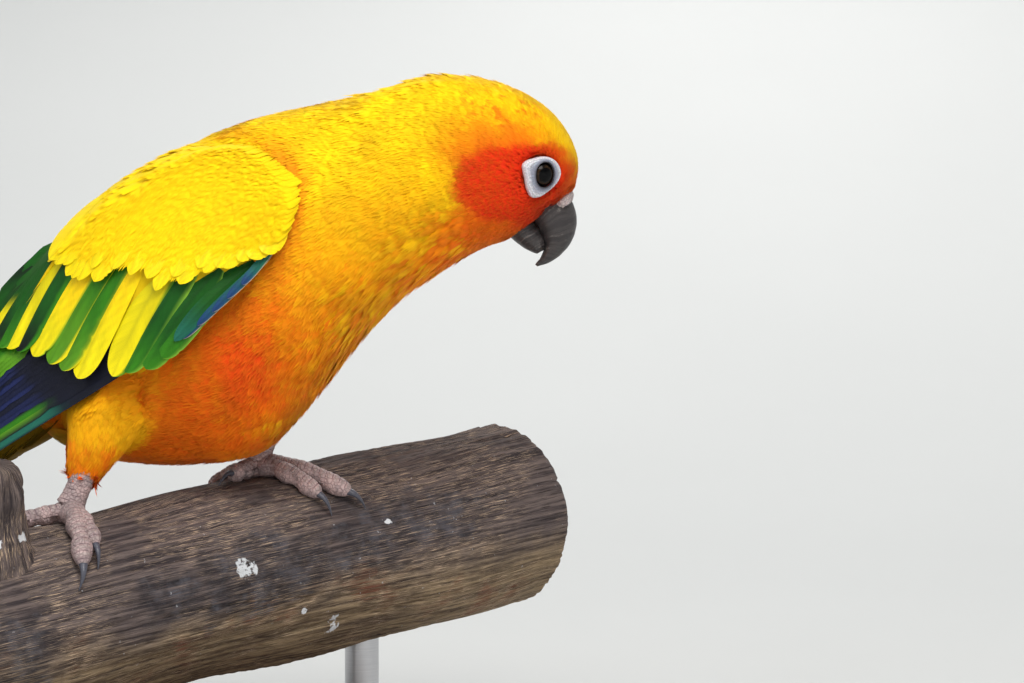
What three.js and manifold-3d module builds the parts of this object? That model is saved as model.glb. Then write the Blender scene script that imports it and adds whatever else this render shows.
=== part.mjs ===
// A sun conure at life size, preening pose, gripping a cut length of branch on a plain display stand.
// Millimetres, +Z up. The bird heads along +X and its left side is +Y. The bird and the branch are drawn
// in the bird's own frame, whose zero is level with the branch's top between the feet, and are lifted
// onto the stand, whose underside is z = 0.
import * as THREE from 'three';
import { mergeVertices } from 'three/addons/utils/BufferGeometryUtils.js';
import Module from 'manifold-3d';

const wasm = await Module();
wasm.setup();

// Driving dimensions
const GAP = 0.3; // between pieces that touch
const TAIL_LENGTH = 134;
const TAIL_FALL = 40; // degrees below level
const TAIL_ROOT = [-73, 18]; // side view, x and z
const WING_FALL = 37;
const WING_BEND = [0, 83];
const EYE_RADIUS = 4.3;
const EYE_OPENING = 3.05; // radius that the bare ring leaves open
const EYE_RING = 5.8; // outer radius of the bare ring
const BILL_BASE = [75.5, 80]; // top of the cere
const BILL_PITCH = 36.4; // degrees that the face plane leans back
const BRANCH_RADIUS = 27;
const BRANCH_YAW = 39.7;
const BRANCH_RISE = 7;
const BRANCH_MIDDLE = [-34.7, 0, -31.4];
const BRANCH_ENDS = [-92, 122]; // along its axis, from its middle
const FOOT_SPACING = 62.6;
const BASE_RADIUS = 74;
const BASE_THICKNESS = 10;
const BASE_DROP = 86; // the bird frame's zero above the stand's underside
const BASE_MIDDLE = 12; // along the branch
const ROD_RADIUS = 5;
const ROD_PLACES = [-38, 62]; // along the branch

// Outline of the body: back and belly points in the side view and half width, from rump to face
const BODY = [
  { back: [-78.5, 25.5], belly: [-67.5, 10.5], half: 9.5 },
  { back: [-70, 46], belly: [-58, 6.5], half: 12.6 },
  { back: [-58, 68], belly: [-44, 4.3], half: 20 },
  { back: [-42.5, 85.5], belly: [-27, 4.2], half: 26.3 },
  { back: [-25.5, 96.5], belly: [-8, 8.5], half: 30 },
  { back: [-8.5, 102.3], belly: [8, 27.5], half: 30.5 },
  { back: [8, 105.8], belly: [21, 44], half: 28.5 },
  { back: [23.5, 109.5], belly: [34, 55], half: 25 },
  { back: [36.5, 113.4], belly: [42, 59.6], half: 22.3 },
  { back: [49, 113], belly: [47.5, 62.4], half: 20.6 },
  { back: [60.5, 109.8], belly: [52, 64.6], half: 19.2 },
  { back: [69.5, 104.2], belly: [55.2, 65.9], half: 17.6 },
  { back: [75.2, 97], belly: [57, 66.7], half: 15.4 },
  { back: [78, 89], belly: [58, 67.1], half: 12.4 },
  { back: [76.9, 81.2], belly: [58.3, 67.3], half: 8.8 },
];
const TORSO_NECK = 6.6; // places along that outline where it is parted
const NECK_HEAD = 8.7;
const EYE_PLACE = { at: 12, up: 0.2 };

const UP = new THREE.Vector3(0, 0, 1);
const SIDE = new THREE.Vector3(0, 1, 0);
const rad = THREE.MathUtils.degToRad;
const lerp = THREE.MathUtils.lerp;
const clamp = THREE.MathUtils.clamp;
const smooth = THREE.MathUtils.smoothstep;
const vec = (x, y, z) => new THREE.Vector3(x, y, z);
const flat = ([x, z]) => vec(x, 0, z);

// A smooth curve of value over place through a few [place, value] stations
function profile(stations, at) {
  const last = stations.length - 1;
  const t = clamp(at, stations[0][0], stations[last][0]);
  let i = 0;
  while (i < last - 1 && stations[i + 1][0] < t) i++;
  const slope = (k) => {
    const a = stations[Math.max(k - 1, 0)];
    const b = stations[Math.min(k + 1, last)];
    return (b[1] - a[1]) / (b[0] - a[0]);
  };
  const [x0, y0] = stations[i];
  const [x1, y1] = stations[i + 1];
  const s = (t - x0) / (x1 - x0);
  const run = x1 - x0;
  const s2 = s * s;
  const s3 = s2 * s;
  return (2 * s3 - 3 * s2 + 1) * y0 + (s3 - 2 * s2 + s) * run * slope(i)
    + (3 * s2 - 2 * s3) * y1 + (s3 - s2) * run * slope(i + 1);
}

// A closed solid from points and triangles, turned to face outwards
function solid(points, faces) {
  let volume = 0;
  for (let i = 0; i < faces.length; i += 3) {
    const [a, b, c] = [0, 1, 2].map((k) => points[faces[i + k]]);
    volume += a.dot(b.clone().cross(c));
  }
  const turned = volume < 0 ? faces.slice().reverse() : faces;
  return new wasm.Manifold(new wasm.Mesh({
    numProp: 3,
    vertProperties: new Float32Array(points.flatMap((p) => p.toArray())),
    triVerts: new Uint32Array(turned),
  }));
}

// A solid through rings of equal length, with a fan over each end ring
function loft(rings) {
  const count = rings[0].length;
  const points = rings.flat();
  const faces = [];
  for (let i = 0; i + 1 < rings.length; i++) {
    for (let k = 0; k < count; k++) {
      const a = i * count + k;
      const b = i * count + ((k + 1) % count);
      faces.push(a, b, b + count, a, b + count, a + count);
    }
  }
  for (const end of [0, rings.length - 1]) {
    const middle = points.length;
    points.push(rings[end].reduce((sum, p) => sum.add(p), vec(0, 0, 0)).divideScalar(count));
    for (let k = 0; k < count; k++) {
      const a = end * count + k;
      const b = end * count + ((k + 1) % count);
      faces.push(...(end ? [a, b, middle] : [b, a, middle]));
    }
  }
  return solid(points, faces);
}

// A three.js geometry as a solid, and a solid as a geometry
function solidOf(geometry) {
  const bare = geometry.clone();
  bare.deleteAttribute('normal');
  bare.deleteAttribute('uv');
  const merged = mergeVertices(bare, 1e-4);
  return new wasm.Manifold(new wasm.Mesh({
    numProp: 3,
    vertProperties: merged.attributes.position.array,
    triVerts: new Uint32Array(merged.index.array),
  }));
}

function geometryOf(body) {
  const mesh = body.getMesh();
  const geometry = new THREE.BufferGeometry();
  geometry.setAttribute('position', new THREE.BufferAttribute(mesh.vertProperties, 3));
  geometry.setIndex(new THREE.BufferAttribute(mesh.triVerts, 1));
  return geometry;
}

const join = (bodies) => bodies.reduce((all, body) => all.add(body));

// The largest closed surface of a body, so that sealed hollows fill and loose scraps go
function largest(body) {
  return body.decompose().reduce((best, piece) => (piece.volume() > best.volume() ? piece : best));
}

// Rings round a path of centres, each wide by deep, for limbs, toes and claws
function sweep(centres, sizes, sides, across) {
  const rings = centres.map((centre, i) => {
    const along = centres[Math.min(i + 1, centres.length - 1)].clone()
      .sub(centres[Math.max(i - 1, 0)]).normalize();
    const wide = across.clone().addScaledVector(along, -across.dot(along)).normalize();
    const deep = along.clone().cross(wide);
    const [w, d] = Array.isArray(sizes[i]) ? sizes[i] : [sizes[i], sizes[i]];
    return Array.from({ length: sides }, (_, k) => {
      const turn = (2 * Math.PI * k) / sides;
      return centre.clone().addScaledVector(wide, w * Math.cos(turn))
        .addScaledVector(deep, d * Math.sin(turn));
    });
  });
  return loft(rings);
}

// A feather's vane on a chart: a thin blade from root to tip, [u, v] each, its edges tilted so that it
// lies over the next one below it. Both faces are split into triangles alike
const FLIGHT_SHAPE = [[0, 0.6], [0.3, 0.92], [0.62, 1], [0.84, 0.84], [0.95, 0.52], [1, 0.16]];
const COVERT_SHAPE = [[0, 0.6], [0.5, 1], [0.82, 0.86], [0.95, 0.54], [1, 0.18]];
const VANE = 0.6; // thickness
const VANE_STEP = 0.95; // height of one vane over the next

function vane(surface, shape, { root, tip, width, lift, tilt = 0 }) {
  const slant = Math.tan(rad(tilt));
  const [runU, runV] = [tip[0] - root[0], tip[1] - root[1]];
  const run = Math.hypot(runU, runV);
  const points = shape.flatMap(([share, wide]) => {
    const [u, v] = [root[0] + runU * share, root[1] + runV * share];
    const half = (width * wide) / 2;
    const thick = share > 0.9 ? VANE * 0.7 : VANE;
    const edge = (turn, drop) => surface(u - (turn * half * runV) / run, v + (turn * half * runU) / run,
      lift(share, u) - turn * slant * half - drop);
    return [edge(-1, 0), edge(1, 0), edge(1, thick), edge(-1, thick)];
  });
  const faces = [0, 3, 2, 0, 2, 1];
  for (let i = 4; i < points.length; i += 4) {
    const [a0, a1, a2, a3] = [i - 4, i - 3, i - 2, i - 1];
    const [b0, b1, b2, b3] = [i, i + 1, i + 2, i + 3];
    faces.push(a0, a1, b1, a0, b1, b0, a1, a2, b2, a1, b2, b1);
    faces.push(a2, a3, b2, a3, b3, b2, a3, a0, b0, a3, b0, b3);
  }
  const end = points.length - 4;
  faces.push(end, end + 1, end + 2, end, end + 2, end + 3);
  return solid(points, faces);
}

// Body: one form from rump to face, parted into torso, neck and head by thin cuts
const bodyTracks = ['back', 'belly'].flatMap((side) => [0, 1].map((axis) => (
  BODY.map((station, i) => [i, station[side][axis]]))));
const bodyHalf = BODY.map((station, i) => [i, station.half]);

function bodySection(at) {
  const [backX, backZ, bellyX, bellyZ] = bodyTracks.map((track) => profile(track, at));
  const back = vec(backX, 0, backZ);
  const belly = vec(bellyX, 0, bellyZ);
  const middle = back.clone().add(belly).divideScalar(2);
  const up = back.clone().sub(belly).normalize();
  return { middle, up, depth: back.distanceTo(belly) / 2, half: profile(bodyHalf, at) };
}

// A point on the body: turn 0 is the back, a quarter turn the right side, half a turn the belly
function bodyPoint(at, turn, swell = 0) {
  const { middle, up, depth, half } = bodySection(at);
  const square = (value) => Math.sign(value) * Math.abs(value) ** 0.92;
  return middle.clone().addScaledVector(up, (depth + swell) * square(Math.cos(turn)))
    .addScaledVector(SIDE, -(half + swell) * square(Math.sin(turn)));
}

const BODY_STEP = 0.5; // of a station, between the rings of the body
const FACE_STEP = 1 / 3;
const FACE_FROM = 7; // station from which the rings stand closer

function bodyForm(swell = 0, sides = 28) {
  const last = BODY.length - 1;
  const places = [];
  for (let at = 0; at <= last; at += at < FACE_FROM ? BODY_STEP : FACE_STEP) places.push(at);
  if (last - places[places.length - 1] > 0.01) places.push(last);
  return loft(places.map((at) => Array.from({ length: sides }, (_, k) => (
    bodyPoint(at, (2 * Math.PI * k) / sides, swell)))));
}

// The part of a body between two cuts, each kept half a gap clear
function between(body, from, to) {
  let kept = body;
  for (const [at, turn] of [[from, 1], [to, -1]]) {
    if (at === null) continue;
    const { middle, up } = bodySection(at);
    const forward = vec(up.z, 0, -up.x).multiplyScalar(turn);
    kept = kept.trimByPlane(forward.toArray(), forward.dot(middle) + GAP / 2);
  }
  return kept;
}

// Bill, in the face's own frame: down the face from the cere, and out from it
const FACE_DOWN = vec(-Math.cos(rad(BILL_PITCH)), 0, -Math.sin(rad(BILL_PITCH)));
const FACE_OUT = vec(-FACE_DOWN.z, 0, FACE_DOWN.x);
const facePoint = (down, out, across = 0) => flat(BILL_BASE).addScaledVector(FACE_DOWN, down)
  .addScaledVector(FACE_OUT, out).addScaledVector(SIDE, across);

// A solid through sections that each run from one edge point to another, [down, out] each, with a
// half width; the first edge is the ridge, drawn in by the keel share
function faceLoft(sections, sides, keel, swell = 0) {
  return loft(sections.map(([ridge, edge, half]) => {
    const a = facePoint(...ridge);
    const b = facePoint(...edge);
    const middle = a.clone().add(b).divideScalar(2);
    const up = a.clone().sub(b).normalize();
    const deep = a.distanceTo(b) / 2 + swell;
    return Array.from({ length: sides }, (_, k) => {
      const turn = (2 * Math.PI * k) / sides;
      const wide = (half + swell) * Math.sin(turn) * (1 - keel * Math.cos(turn));
      return middle.clone().addScaledVector(up, deep * Math.cos(turn)).addScaledVector(SIDE, wide);
    });
  }));
}

const UPPER_BILL = [ // ridge, cutting edge, half width
  [[0.4, 0.0], [12.6, 0.0], 6.4],
  [[0.9, 3.2], [12.8, 2.2], 6.1],
  [[2.4, 6.6], [13.2, 4.6], 5.4],
  [[5.2, 9.6], [13.6, 6.2], 4.6],
  [[8.8, 11.5], [14.3, 7.4], 3.7],
  [[12.6, 12.2], [15.4, 8.5], 2.8],
  [[16.2, 11.9], [17.3, 9.5], 1.8],
  [[19.2, 10.9], [19.4, 10.1], 0.6],
];
const LOWER_BILL = [ // chin, cutting edge, half width
  [[20.4, 0.0], [12.4, 0.0], 5.6],
  [[20.0, 1.9], [12.3, 2.2], 5.2],
  [[19.2, 4.4], [12.6, 4.6], 4.5],
  [[18.2, 6.5], [13.2, 6.6], 3.6],
  [[17.2, 8.0], [14.6, 8.2], 2.0],
];
const upperBillForm = (swell) => faceLoft(UPPER_BILL, 16, 0.18, swell);

function cereForm() {
  const band = faceLoft([
    [[-1.1, 0.1], [6.4, 0.1], 7.2],
    [[-0.6, 1.4], [6.0, 1.2], 7.0],
    [[0.4, 2.5], [4.8, 2.1], 6.2],
  ], 16, 0.1);
  const nostrils = [-1, 1].map((side) => solidOf(new THREE.SphereGeometry(0.95, 8, 6)
    .translate(...facePoint(2.6, 2.3, side * 4.3).toArray())));
  return largest(nostrils.reduce((all, pit) => all.subtract(pit), band).subtract(upperBillForm(GAP)));
}

// Eye: a ball set into the side of the head, under a ring of bare skin with a round opening
const EYE_DEPTH = 3.1; // ball's middle below the head's surface

function eyeFrame(side) {
  const turn = -side * Math.acos(EYE_PLACE.up);
  const at = EYE_PLACE.at;
  const surface = bodyPoint(at, turn);
  const along = bodyPoint(at + 0.2, turn).sub(bodyPoint(at - 0.2, turn));
  const round = bodyPoint(at, turn + 0.1).sub(bodyPoint(at, turn - 0.1));
  const out = along.cross(round).normalize();
  if (out.y * side < 0) out.negate();
  return { middle: surface.addScaledVector(out, -EYE_DEPTH), out };
}

const eyeTurn = (out) => new THREE.Quaternion().setFromUnitVectors(SIDE, out);

function eyeBall(side, swell = 0) {
  const { middle, out } = eyeFrame(side);
  return solidOf(new THREE.SphereGeometry(EYE_RADIUS + swell, 14, 9)
    .applyQuaternion(eyeTurn(out)).translate(...middle.toArray()));
}

function eyeRing(side, swell = 0) {
  const { middle, out } = eyeFrame(side);
  const outer = EYE_RING + swell;
  const outline = [
    [EYE_OPENING - swell, 3.75 - swell],
    [EYE_OPENING + 0.35, 4.35 + swell],
    [EYE_OPENING + 1.3, 4.2 + swell],
    [outer, 3.1 + swell],
    [outer, 2.2 - swell],
    [EYE_OPENING + 1.9, 1.4 - swell],
  ];
  const closed = [...outline, outline[0]].map(([r, h]) => new THREE.Vector2(r, h));
  const geometry = new THREE.LatheGeometry(closed.reverse(), 18);
  return solidOf(geometry.applyQuaternion(eyeTurn(out)).translate(...middle.toArray()));
}

// Wing: a chart over the flank, u from the bend toward the tip and v up toward the back
const WING_LOWER = [[-2, 0], [2, -5], [10, -9], [22, -12], [40, -14.6], [60, -17], [76, -12.6],
  [94, -8.6], [112, -5.6], [132, -3], [152, -1]];
const WING_UPPER = [[-2, 9], [2, 16], [10, 22], [22, 26.5], [40, 29], [60, 27], [76, 22.6],
  [94, 17], [112, 11.4], [132, 6], [152, 1]];
const WING_DEPTH = [[-2, 29.5], [10, 33], [25, 35.2], [45, 35.4], [60, 32.5], [75, 28], [95, 21]];
const WING_RIDGE = -6; // the line along the wing, in v, where its face stands out most
const DOME_ABOVE = 4; // how far past the wing's upper edge its dome would meet the middle plane
const DOME_BELOW = 52;
const ROOF_DEPTH = 19; // the folded primaries lie like one side of a roof
const ROOF_TAPER = 0.26;
const ROOF_SLOPE = 0.6;
const ROOF_AT = 95;
const ROOF_BLEND = [44, 96]; // from dome to roof, along the wing

function wingDepth(u, v) {
  const reach = v > WING_RIDGE ? profile(WING_UPPER, u) + DOME_ABOVE - WING_RIDGE : DOME_BELOW;
  const domed = profile(WING_DEPTH, u) * Math.sqrt(Math.max(1 - ((v - WING_RIDGE) / reach) ** 2, 0.03));
  const roofed = ROOF_DEPTH - ROOF_TAPER * (u - ROOF_AT) - ROOF_SLOPE * v;
  return lerp(domed, roofed, smooth(u, ...ROOF_BLEND));
}

// A point over the wing's chart, lifted off it; side is -1 on the right and 1 on the left
function wingPoint(u, v, lift, side) {
  const place = (a, b) => vec(
    WING_BEND[0] - a * Math.cos(rad(WING_FALL)) - b * Math.sin(rad(WING_FALL)),
    -wingDepth(a, b),
    WING_BEND[1] - a * Math.sin(rad(WING_FALL)) + b * Math.cos(rad(WING_FALL)),
  );
  const along = place(u + 0.5, v).sub(place(u - 0.5, v));
  const across = place(u, v + 0.5).sub(place(u, v - 0.5));
  const out = along.cross(across).normalize();
  if (out.y > 0) out.negate();
  const point = place(u, v).addScaledVector(out, lift);
  return vec(point.x, -side * point.y, point.z);
}

const WING_SPAN = 9; // points across each face of the wing's form
const WING_EDGE = 1.2; // how far the wing's edges turn down from its face
const WING_START = -2; // u at the bend's rounded front
const wingThickness = (u) => profile([[-2, 4], [20, 7], [50, 5.6], [100, 4.4]], u);

function wingForm(endLow, endHigh, thickness, side, swell = 0) {
  const stations = [0, 0.03, 0.09, 0.18, 0.3, 0.42, 0.54, 0.66, 0.78, 0.9, 1];
  const rings = stations.map((s) => {
    const face = (lift) => Array.from({ length: WING_SPAN }, (_, k) => {
      const across = k / (WING_SPAN - 1);
      const u = lerp(WING_START - swell, lerp(endLow, endHigh, across), s);
      const v = lerp(profile(WING_LOWER, u) - swell, profile(WING_UPPER, u) + swell, across);
      const edge = Math.sqrt(Math.max(1 - (2 * across - 1) ** 2, 0.02));
      return wingPoint(u, v, lift(u, edge), side);
    });
    const top = face((u, edge) => swell - WING_EDGE * (1 - edge));
    const under = face((u, edge) => -WING_EDGE - swell - thickness(u) * edge);
    return [...top, ...under.reverse()];
  });
  return loft(rings);
}

// Flight feathers, outermost primary first: their roots lie along the slanted end of the wing's form,
// and each lies under the next one up. Their tips step back from the second primary
const FLIGHT = 13;
const FLIGHT_TILT = 20;
const CORE_END = [64, 97]; // of the wing's form, at its lower and upper edge
const ROOT_SINK = 10; // how far inside that end the roots are
const LOWEST_ROOT = -12.5; // v
const FIRST_TIP = [147, -1.8];
const SECOND_TIP = 152; // u of the longest feather's tip and of the innermost one's
const LAST_TIP = 109;

const flightRoot = (i) => {
  const share = i / (FLIGHT - 1);
  const u = lerp(CORE_END[0], CORE_END[1], share) - ROOT_SINK;
  return [u, lerp(LOWEST_ROOT, profile(WING_UPPER, u) - 5, share)];
};
const flightTip = (i) => {
  if (i === 0) return FIRST_TIP;
  const u = lerp(SECOND_TIP, LAST_TIP, ((i - 1) / (FLIGHT - 2)) ** 0.75);
  return [u, profile(WING_UPPER, u) - 1.6];
};

function flightLine(i, u) {
  const [rootU, rootV] = flightRoot(i);
  const [tipU, tipV] = flightTip(i);
  return rootV + ((tipV - rootV) * (u - rootU)) / (tipU - rootU);
}

// Where the lines draw together the tilt alone no longer parts the vanes, so each is raised
function flightLift(i, u) {
  let rise = 0;
  for (let k = 0; k < i; k++) {
    const apart = flightLine(k + 1, u) - flightLine(k, u);
    rise += Math.max(VANE_STEP - apart * Math.tan(rad(FLIGHT_TILT)), 0);
  }
  return rise;
}

const flightVanes = (surface) => Array.from({ length: FLIGHT }, (_, i) => vane(surface, FLIGHT_SHAPE, {
  root: flightRoot(i),
  tip: flightTip(i),
  width: i === 0 ? 7 : 8.6,
  tilt: FLIGHT_TILT,
  lift: (share, u) => -2.2 + flightLift(i, u) * smooth(share, 0, 0.5),
}));

// Coverts: a tier runs from the wing's lower edge to its upper, its tips along a line of the chart
const COVERTS = [
  { name: 'primary', count: 4, length: 24, width: 7, lifts: [-1.5, 0.5],
    tips: [[0, 44, -12.6], [0.6, 58, -14.4], [1, 70, -13.6]] },
  { name: 'greater', count: 8, length: 33, width: 10.2, lifts: [-1.6, 1.5],
    tips: [[0, 50, -11.5], [0.3, 71, -11], [0.6, 87, -1], [1, 103, 14]] },
  { name: 'median', count: 8, length: 20, width: 9.6, lifts: [-1.2, 2.1],
    tips: [[0, 21, -6.2], [0.3, 41, -3.5], [0.6, 56, 7.5], [1, 72, 22]] },
];
const COVERT_TILT = 9;

function covertVanes(surface, { count, length, width, lifts, tips }) {
  return Array.from({ length: count }, (_, i) => {
    const share = i / (count - 1);
    const tip = [1, 2].map((part) => profile(tips.map((stop) => [stop[0], stop[part]]), share));
    const long = length * (1 - 0.2 * (1 - share));
    return vane(surface, COVERT_SHAPE, {
      root: [tip[0] - long, lerp(tip[1], 5, lerp(0.4, 0.1, share))],
      tip,
      width,
      tilt: COVERT_TILT,
      lift: (along) => lerp(lifts[0], lifts[1], along),
    });
  });
}

function wingBody(side) {
  const surface = (u, v, lift) => wingPoint(u, v, lift, side);
  const core = wingForm(...CORE_END, wingThickness, side);
  const tiers = COVERTS.flatMap((tier) => covertVanes(surface, tier));
  return largest(join([core, ...flightVanes(surface), ...tiers]).subtract(bodyForm(GAP)));
}

// Tail: a chart along the tail, s from its root, with the feathers' faces raised by lift
const TAIL_BACK = vec(-Math.cos(rad(TAIL_FALL)), 0, -Math.sin(rad(TAIL_FALL)));
const TAIL_UP = vec(TAIL_BACK.z, 0, -TAIL_BACK.x);
const tailPoint = (s, across, lift) => flat(TAIL_ROOT).addScaledVector(TAIL_BACK, s)
  .addScaledVector(TAIL_UP, lift - 0.0006 * s * s - 0.012 * across * across)
  .addScaledVector(SIDE, across);

const TAIL_PAIRS = 6; // tail feathers each side, the middle pair longest
const TAIL_ROOT_SINK = 4;
const TAIL_COVERTS = [[-6.5, 33], [0, 41], [6.5, 33]]; // across, tip along the tail

function tailVanes() {
  const vanes = [];
  const level = (layer) => 2.9 - VANE_STEP * layer;
  for (const side of [1, -1]) {
    for (let pair = 0; pair < TAIL_PAIRS; pair++) {
      const layer = pair === 0 ? (1 - side) / 2 : pair + 1;
      const reach = TAIL_LENGTH * (1 - 0.42 * (pair / (TAIL_PAIRS - 1)) ** 1.15);
      const out = pair === 0 ? 1 : 4.6 + 0.9 * pair;
      vanes.push(vane(tailPoint, FLIGHT_SHAPE, {
        root: [TAIL_ROOT_SINK, side * Math.min(out, 4.6)],
        tip: [reach, side * Math.max(out - 2.4, 0.6)],
        width: pair === 0 ? 10 : 9,
        lift: () => level(layer),
      }));
    }
  }
  return vanes;
}

const tailCoverts = (level, fall, shorter) => TAIL_COVERTS.map(([across, reach], i) => (
  vane(tailPoint, COVERT_SHAPE, {
    root: [6, across * 0.55],
    tip: [reach - shorter, across],
    width: 9,
    lift: (share) => level(i) - fall * share,
  })));

function tailBody() {
  const sizes = [[-2.5, 8.6, 9.0], [3, 8.8, 8.0], [9, 9.3, 6.6], [16, 9.6, 5.2], [23, 8.6, 4.2]];
  const rings = sizes.map(([s, half, deep]) => Array.from({ length: 16 }, (_, k) => {
    const turn = (2 * Math.PI * k) / 16;
    return tailPoint(s, half * Math.sin(turn), deep * Math.cos(turn));
  }));
  const above = tailCoverts((i) => 5.8 - VANE_STEP * Math.abs(i - 1), 0.6, 0);
  const below = tailCoverts((i) => -4.9 + VANE_STEP * Math.abs(i - 1), -0.3, 2);
  return largest(join([loft(rings), ...tailVanes(), ...above, ...below]).subtract(bodyForm(GAP)));
}

// Branch: a round length of wood with low waves and a broken knob, and a chart over it
const branchAlong = vec(Math.cos(rad(BRANCH_RISE)) * Math.cos(rad(BRANCH_YAW)),
  Math.cos(rad(BRANCH_RISE)) * Math.sin(rad(BRANCH_YAW)), Math.sin(rad(BRANCH_RISE)));
const branchUp = UP.clone().addScaledVector(branchAlong, -branchAlong.z).normalize();
const branchNear = branchAlong.clone().cross(branchUp);

function branchRadius(a, turn) {
  const waves = 0.7 * Math.sin(a / 21 + 2 * turn) + 0.5 * Math.sin(a / 11 - 3 * turn + 1);
  const hollow = -1.6 * Math.exp(-(((a - 8) / 40) ** 2)) * Math.max(Math.cos(turn - 2.2), 0) ** 2;
  return BRANCH_RADIUS + waves + hollow + 0.012 * Math.max(a - 60, 0);
}

// Turn 0 is the branch's top, and it grows toward the right, near side
const branchPoint = (a, turn, lift) => vec(...BRANCH_MIDDLE).addScaledVector(branchAlong, a)
  .addScaledVector(branchNear, (branchRadius(a, turn) + lift) * Math.sin(turn))
  .addScaledVector(branchUp, (branchRadius(a, turn) + lift) * Math.cos(turn));

function branchForm(swell, sides = 24) {
  const steps = 14;
  return loft(Array.from({ length: steps }, (_, i) => {
    const a = lerp(BRANCH_ENDS[0] - swell, BRANCH_ENDS[1] + swell, i / (steps - 1));
    return Array.from({ length: sides }, (__, k) => branchPoint(a, (2 * Math.PI * k) / sides, swell));
  }));
}

const KNOB_PLACE = -62; // along the branch
const KNOB_TURN = 0.3;
const KNOB = [[-12, 14], [-3, 12.5], [3, 10], [9, 8.8], [16, 8.4], [21, 7], [24, 4.6]]; // height, radius

const knobForm = () => sweep(KNOB.map(([h]) => branchPoint(KNOB_PLACE, KNOB_TURN, h)),
  KNOB.map(([, radius]) => radius), 12, branchNear);

const perchBody = () => largest(branchForm(0).add(knobForm()));

// Feet: two toes to the front and two to the back, laid over the branch. A toe ends at [along the
// branch from the foot, turn in degrees] and its claw goes on the same way
const TOES = {
  right: [
    { name: 'outer_front', end: [-12.4, 53], girth: 2.5 },
    { name: 'inner_front', end: [-5.8, 43], girth: 2.3 },
    { name: 'outer_back', end: [-13, -13], girth: 2.3 },
    { name: 'inner_back', end: [5, -34], girth: 2.0 },
  ],
  left: [
    { name: 'outer_front', end: [17, 45], girth: 2.5 },
    { name: 'inner_front', end: [6.5, 43], girth: 2.3 },
    { name: 'outer_back', end: [-12, 8], girth: 2.3 },
    { name: 'inner_back', end: [-6, -33], girth: 2.0 },
  ],
};
const CLAW_LENGTH = 7.5;
const FACET = 0.1; // room for the flats of the branch's solid
const footPlace = (side) => (side * FOOT_SPACING) / 2;

function toePoint(foot, [along, degrees], share, lift) {
  return branchPoint(foot + along * share, rad(degrees) * share, lift);
}

const toeReach = ([along, degrees]) => Math.hypot(along, rad(degrees) * BRANCH_RADIUS);
const acrossToe = (foot, centres) => branchPoint(foot, 0, 1).sub(branchPoint(foot, 0, 0))
  .cross(centres[centres.length - 1].clone().sub(centres[0]));

function toeForm(foot, { end, girth }, swell = 0) {
  const steps = 10;
  const centres = [];
  const radii = [];
  for (let i = 0; i <= steps; i++) {
    const share = (i / steps) * (1 + swell / toeReach(end));
    const pads = 1 + 0.09 * Math.sin(share * 3 * 2 * Math.PI - 1.2);
    const radius = girth * lerp(1.06, 0.82, share) * pads * (i === steps ? 0.72 : 1);
    centres.push(toePoint(foot, end, share, radius + GAP + FACET));
    radii.push(radius + swell);
  }
  return sweep(centres, radii, 7, acrossToe(foot, centres));
}

function clawForm(name, foot, { end, girth }) {
  const steps = 4;
  const centres = [];
  const radii = [];
  const reach = toeReach(end);
  for (let i = 0; i <= steps; i++) {
    const bend = i / steps;
    const share = 1 + (CLAW_LENGTH * bend - 0.4) / reach;
    const radius = lerp(girth * 0.62, 0.22, bend ** 0.8);
    const arch = 1.2 * Math.sin(Math.PI * bend);
    centres.push(toePoint(foot, end, share, lerp(girth * 0.82, radius, bend) + arch + GAP + FACET));
    radii.push(radius);
  }
  return largest(TOES[name].reduce((claw, toe) => claw.subtract(toeForm(foot, toe, GAP)),
    sweep(centres, radii, 6, acrossToe(foot, centres))));
}

// Thighs: feathered drumsticks from the flank down to the feet
const THIGHS = {
  right: { top: [-48, -15, 34], bottom: [-58.6, -20.4, 1.5] },
  left: { top: [-26, 15, 36], bottom: [-11.6, 19.4, 9.5] },
};
const THIGH_SIZES = [9, 12.2, 12.6, 11.4, 9.2, 6.6, 4.4];

function thighForm(name, swell = 0) {
  const { top, bottom } = THIGHS[name];
  const last = THIGH_SIZES.length - 1;
  const centres = THIGH_SIZES.map((_, i) => vec(...top).lerp(vec(...bottom), i / last));
  return sweep(centres, THIGH_SIZES.map((r) => [0.86 * (r + swell), r + swell]), 16, SIDE);
}

const WING_CLEAR = 3 * GAP; // the wing's vanes stand off its form by less than this
const PAST_CORE = [90, 110]; // the thigh is cleared of the vanes past the wing form's end as well

const thighBody = (name, side) => largest(thighForm(name).subtract(bodyForm(GAP))
  .subtract(wingForm(...PAST_CORE, wingThickness, side, WING_CLEAR)));

function footBody(name, side) {
  const foot = footPlace(side);
  const heel = branchPoint(foot, 0, 4.4);
  const shank = vec(...THIGHS[name].bottom).add(vec(0, 0, 2));
  const tarsus = sweep([branchPoint(foot, 0, 3.2), heel, heel.clone().lerp(shank, 0.5), shank],
    [3.4, 3.3, 2.6, 2.5], 10, SIDE);
  const whole = join([tarsus, ...TOES[name].map((toe) => toeForm(foot, toe))]);
  return largest(whole.subtract(thighForm(name, GAP)));
}

// Stand: a round base and two rods up to the branch
function rodBody(place) {
  const { x, y, z } = branchPoint(place, Math.PI, 0);
  const low = BASE_THICKNESS - BASE_DROP + GAP;
  const tall = z + 8 - low;
  const rod = new THREE.CylinderGeometry(ROD_RADIUS, ROD_RADIUS, tall, 16).rotateX(Math.PI / 2)
    .translate(x, y, low + tall / 2);
  return largest(solidOf(rod).subtract(branchForm(GAP)));
}

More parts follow.
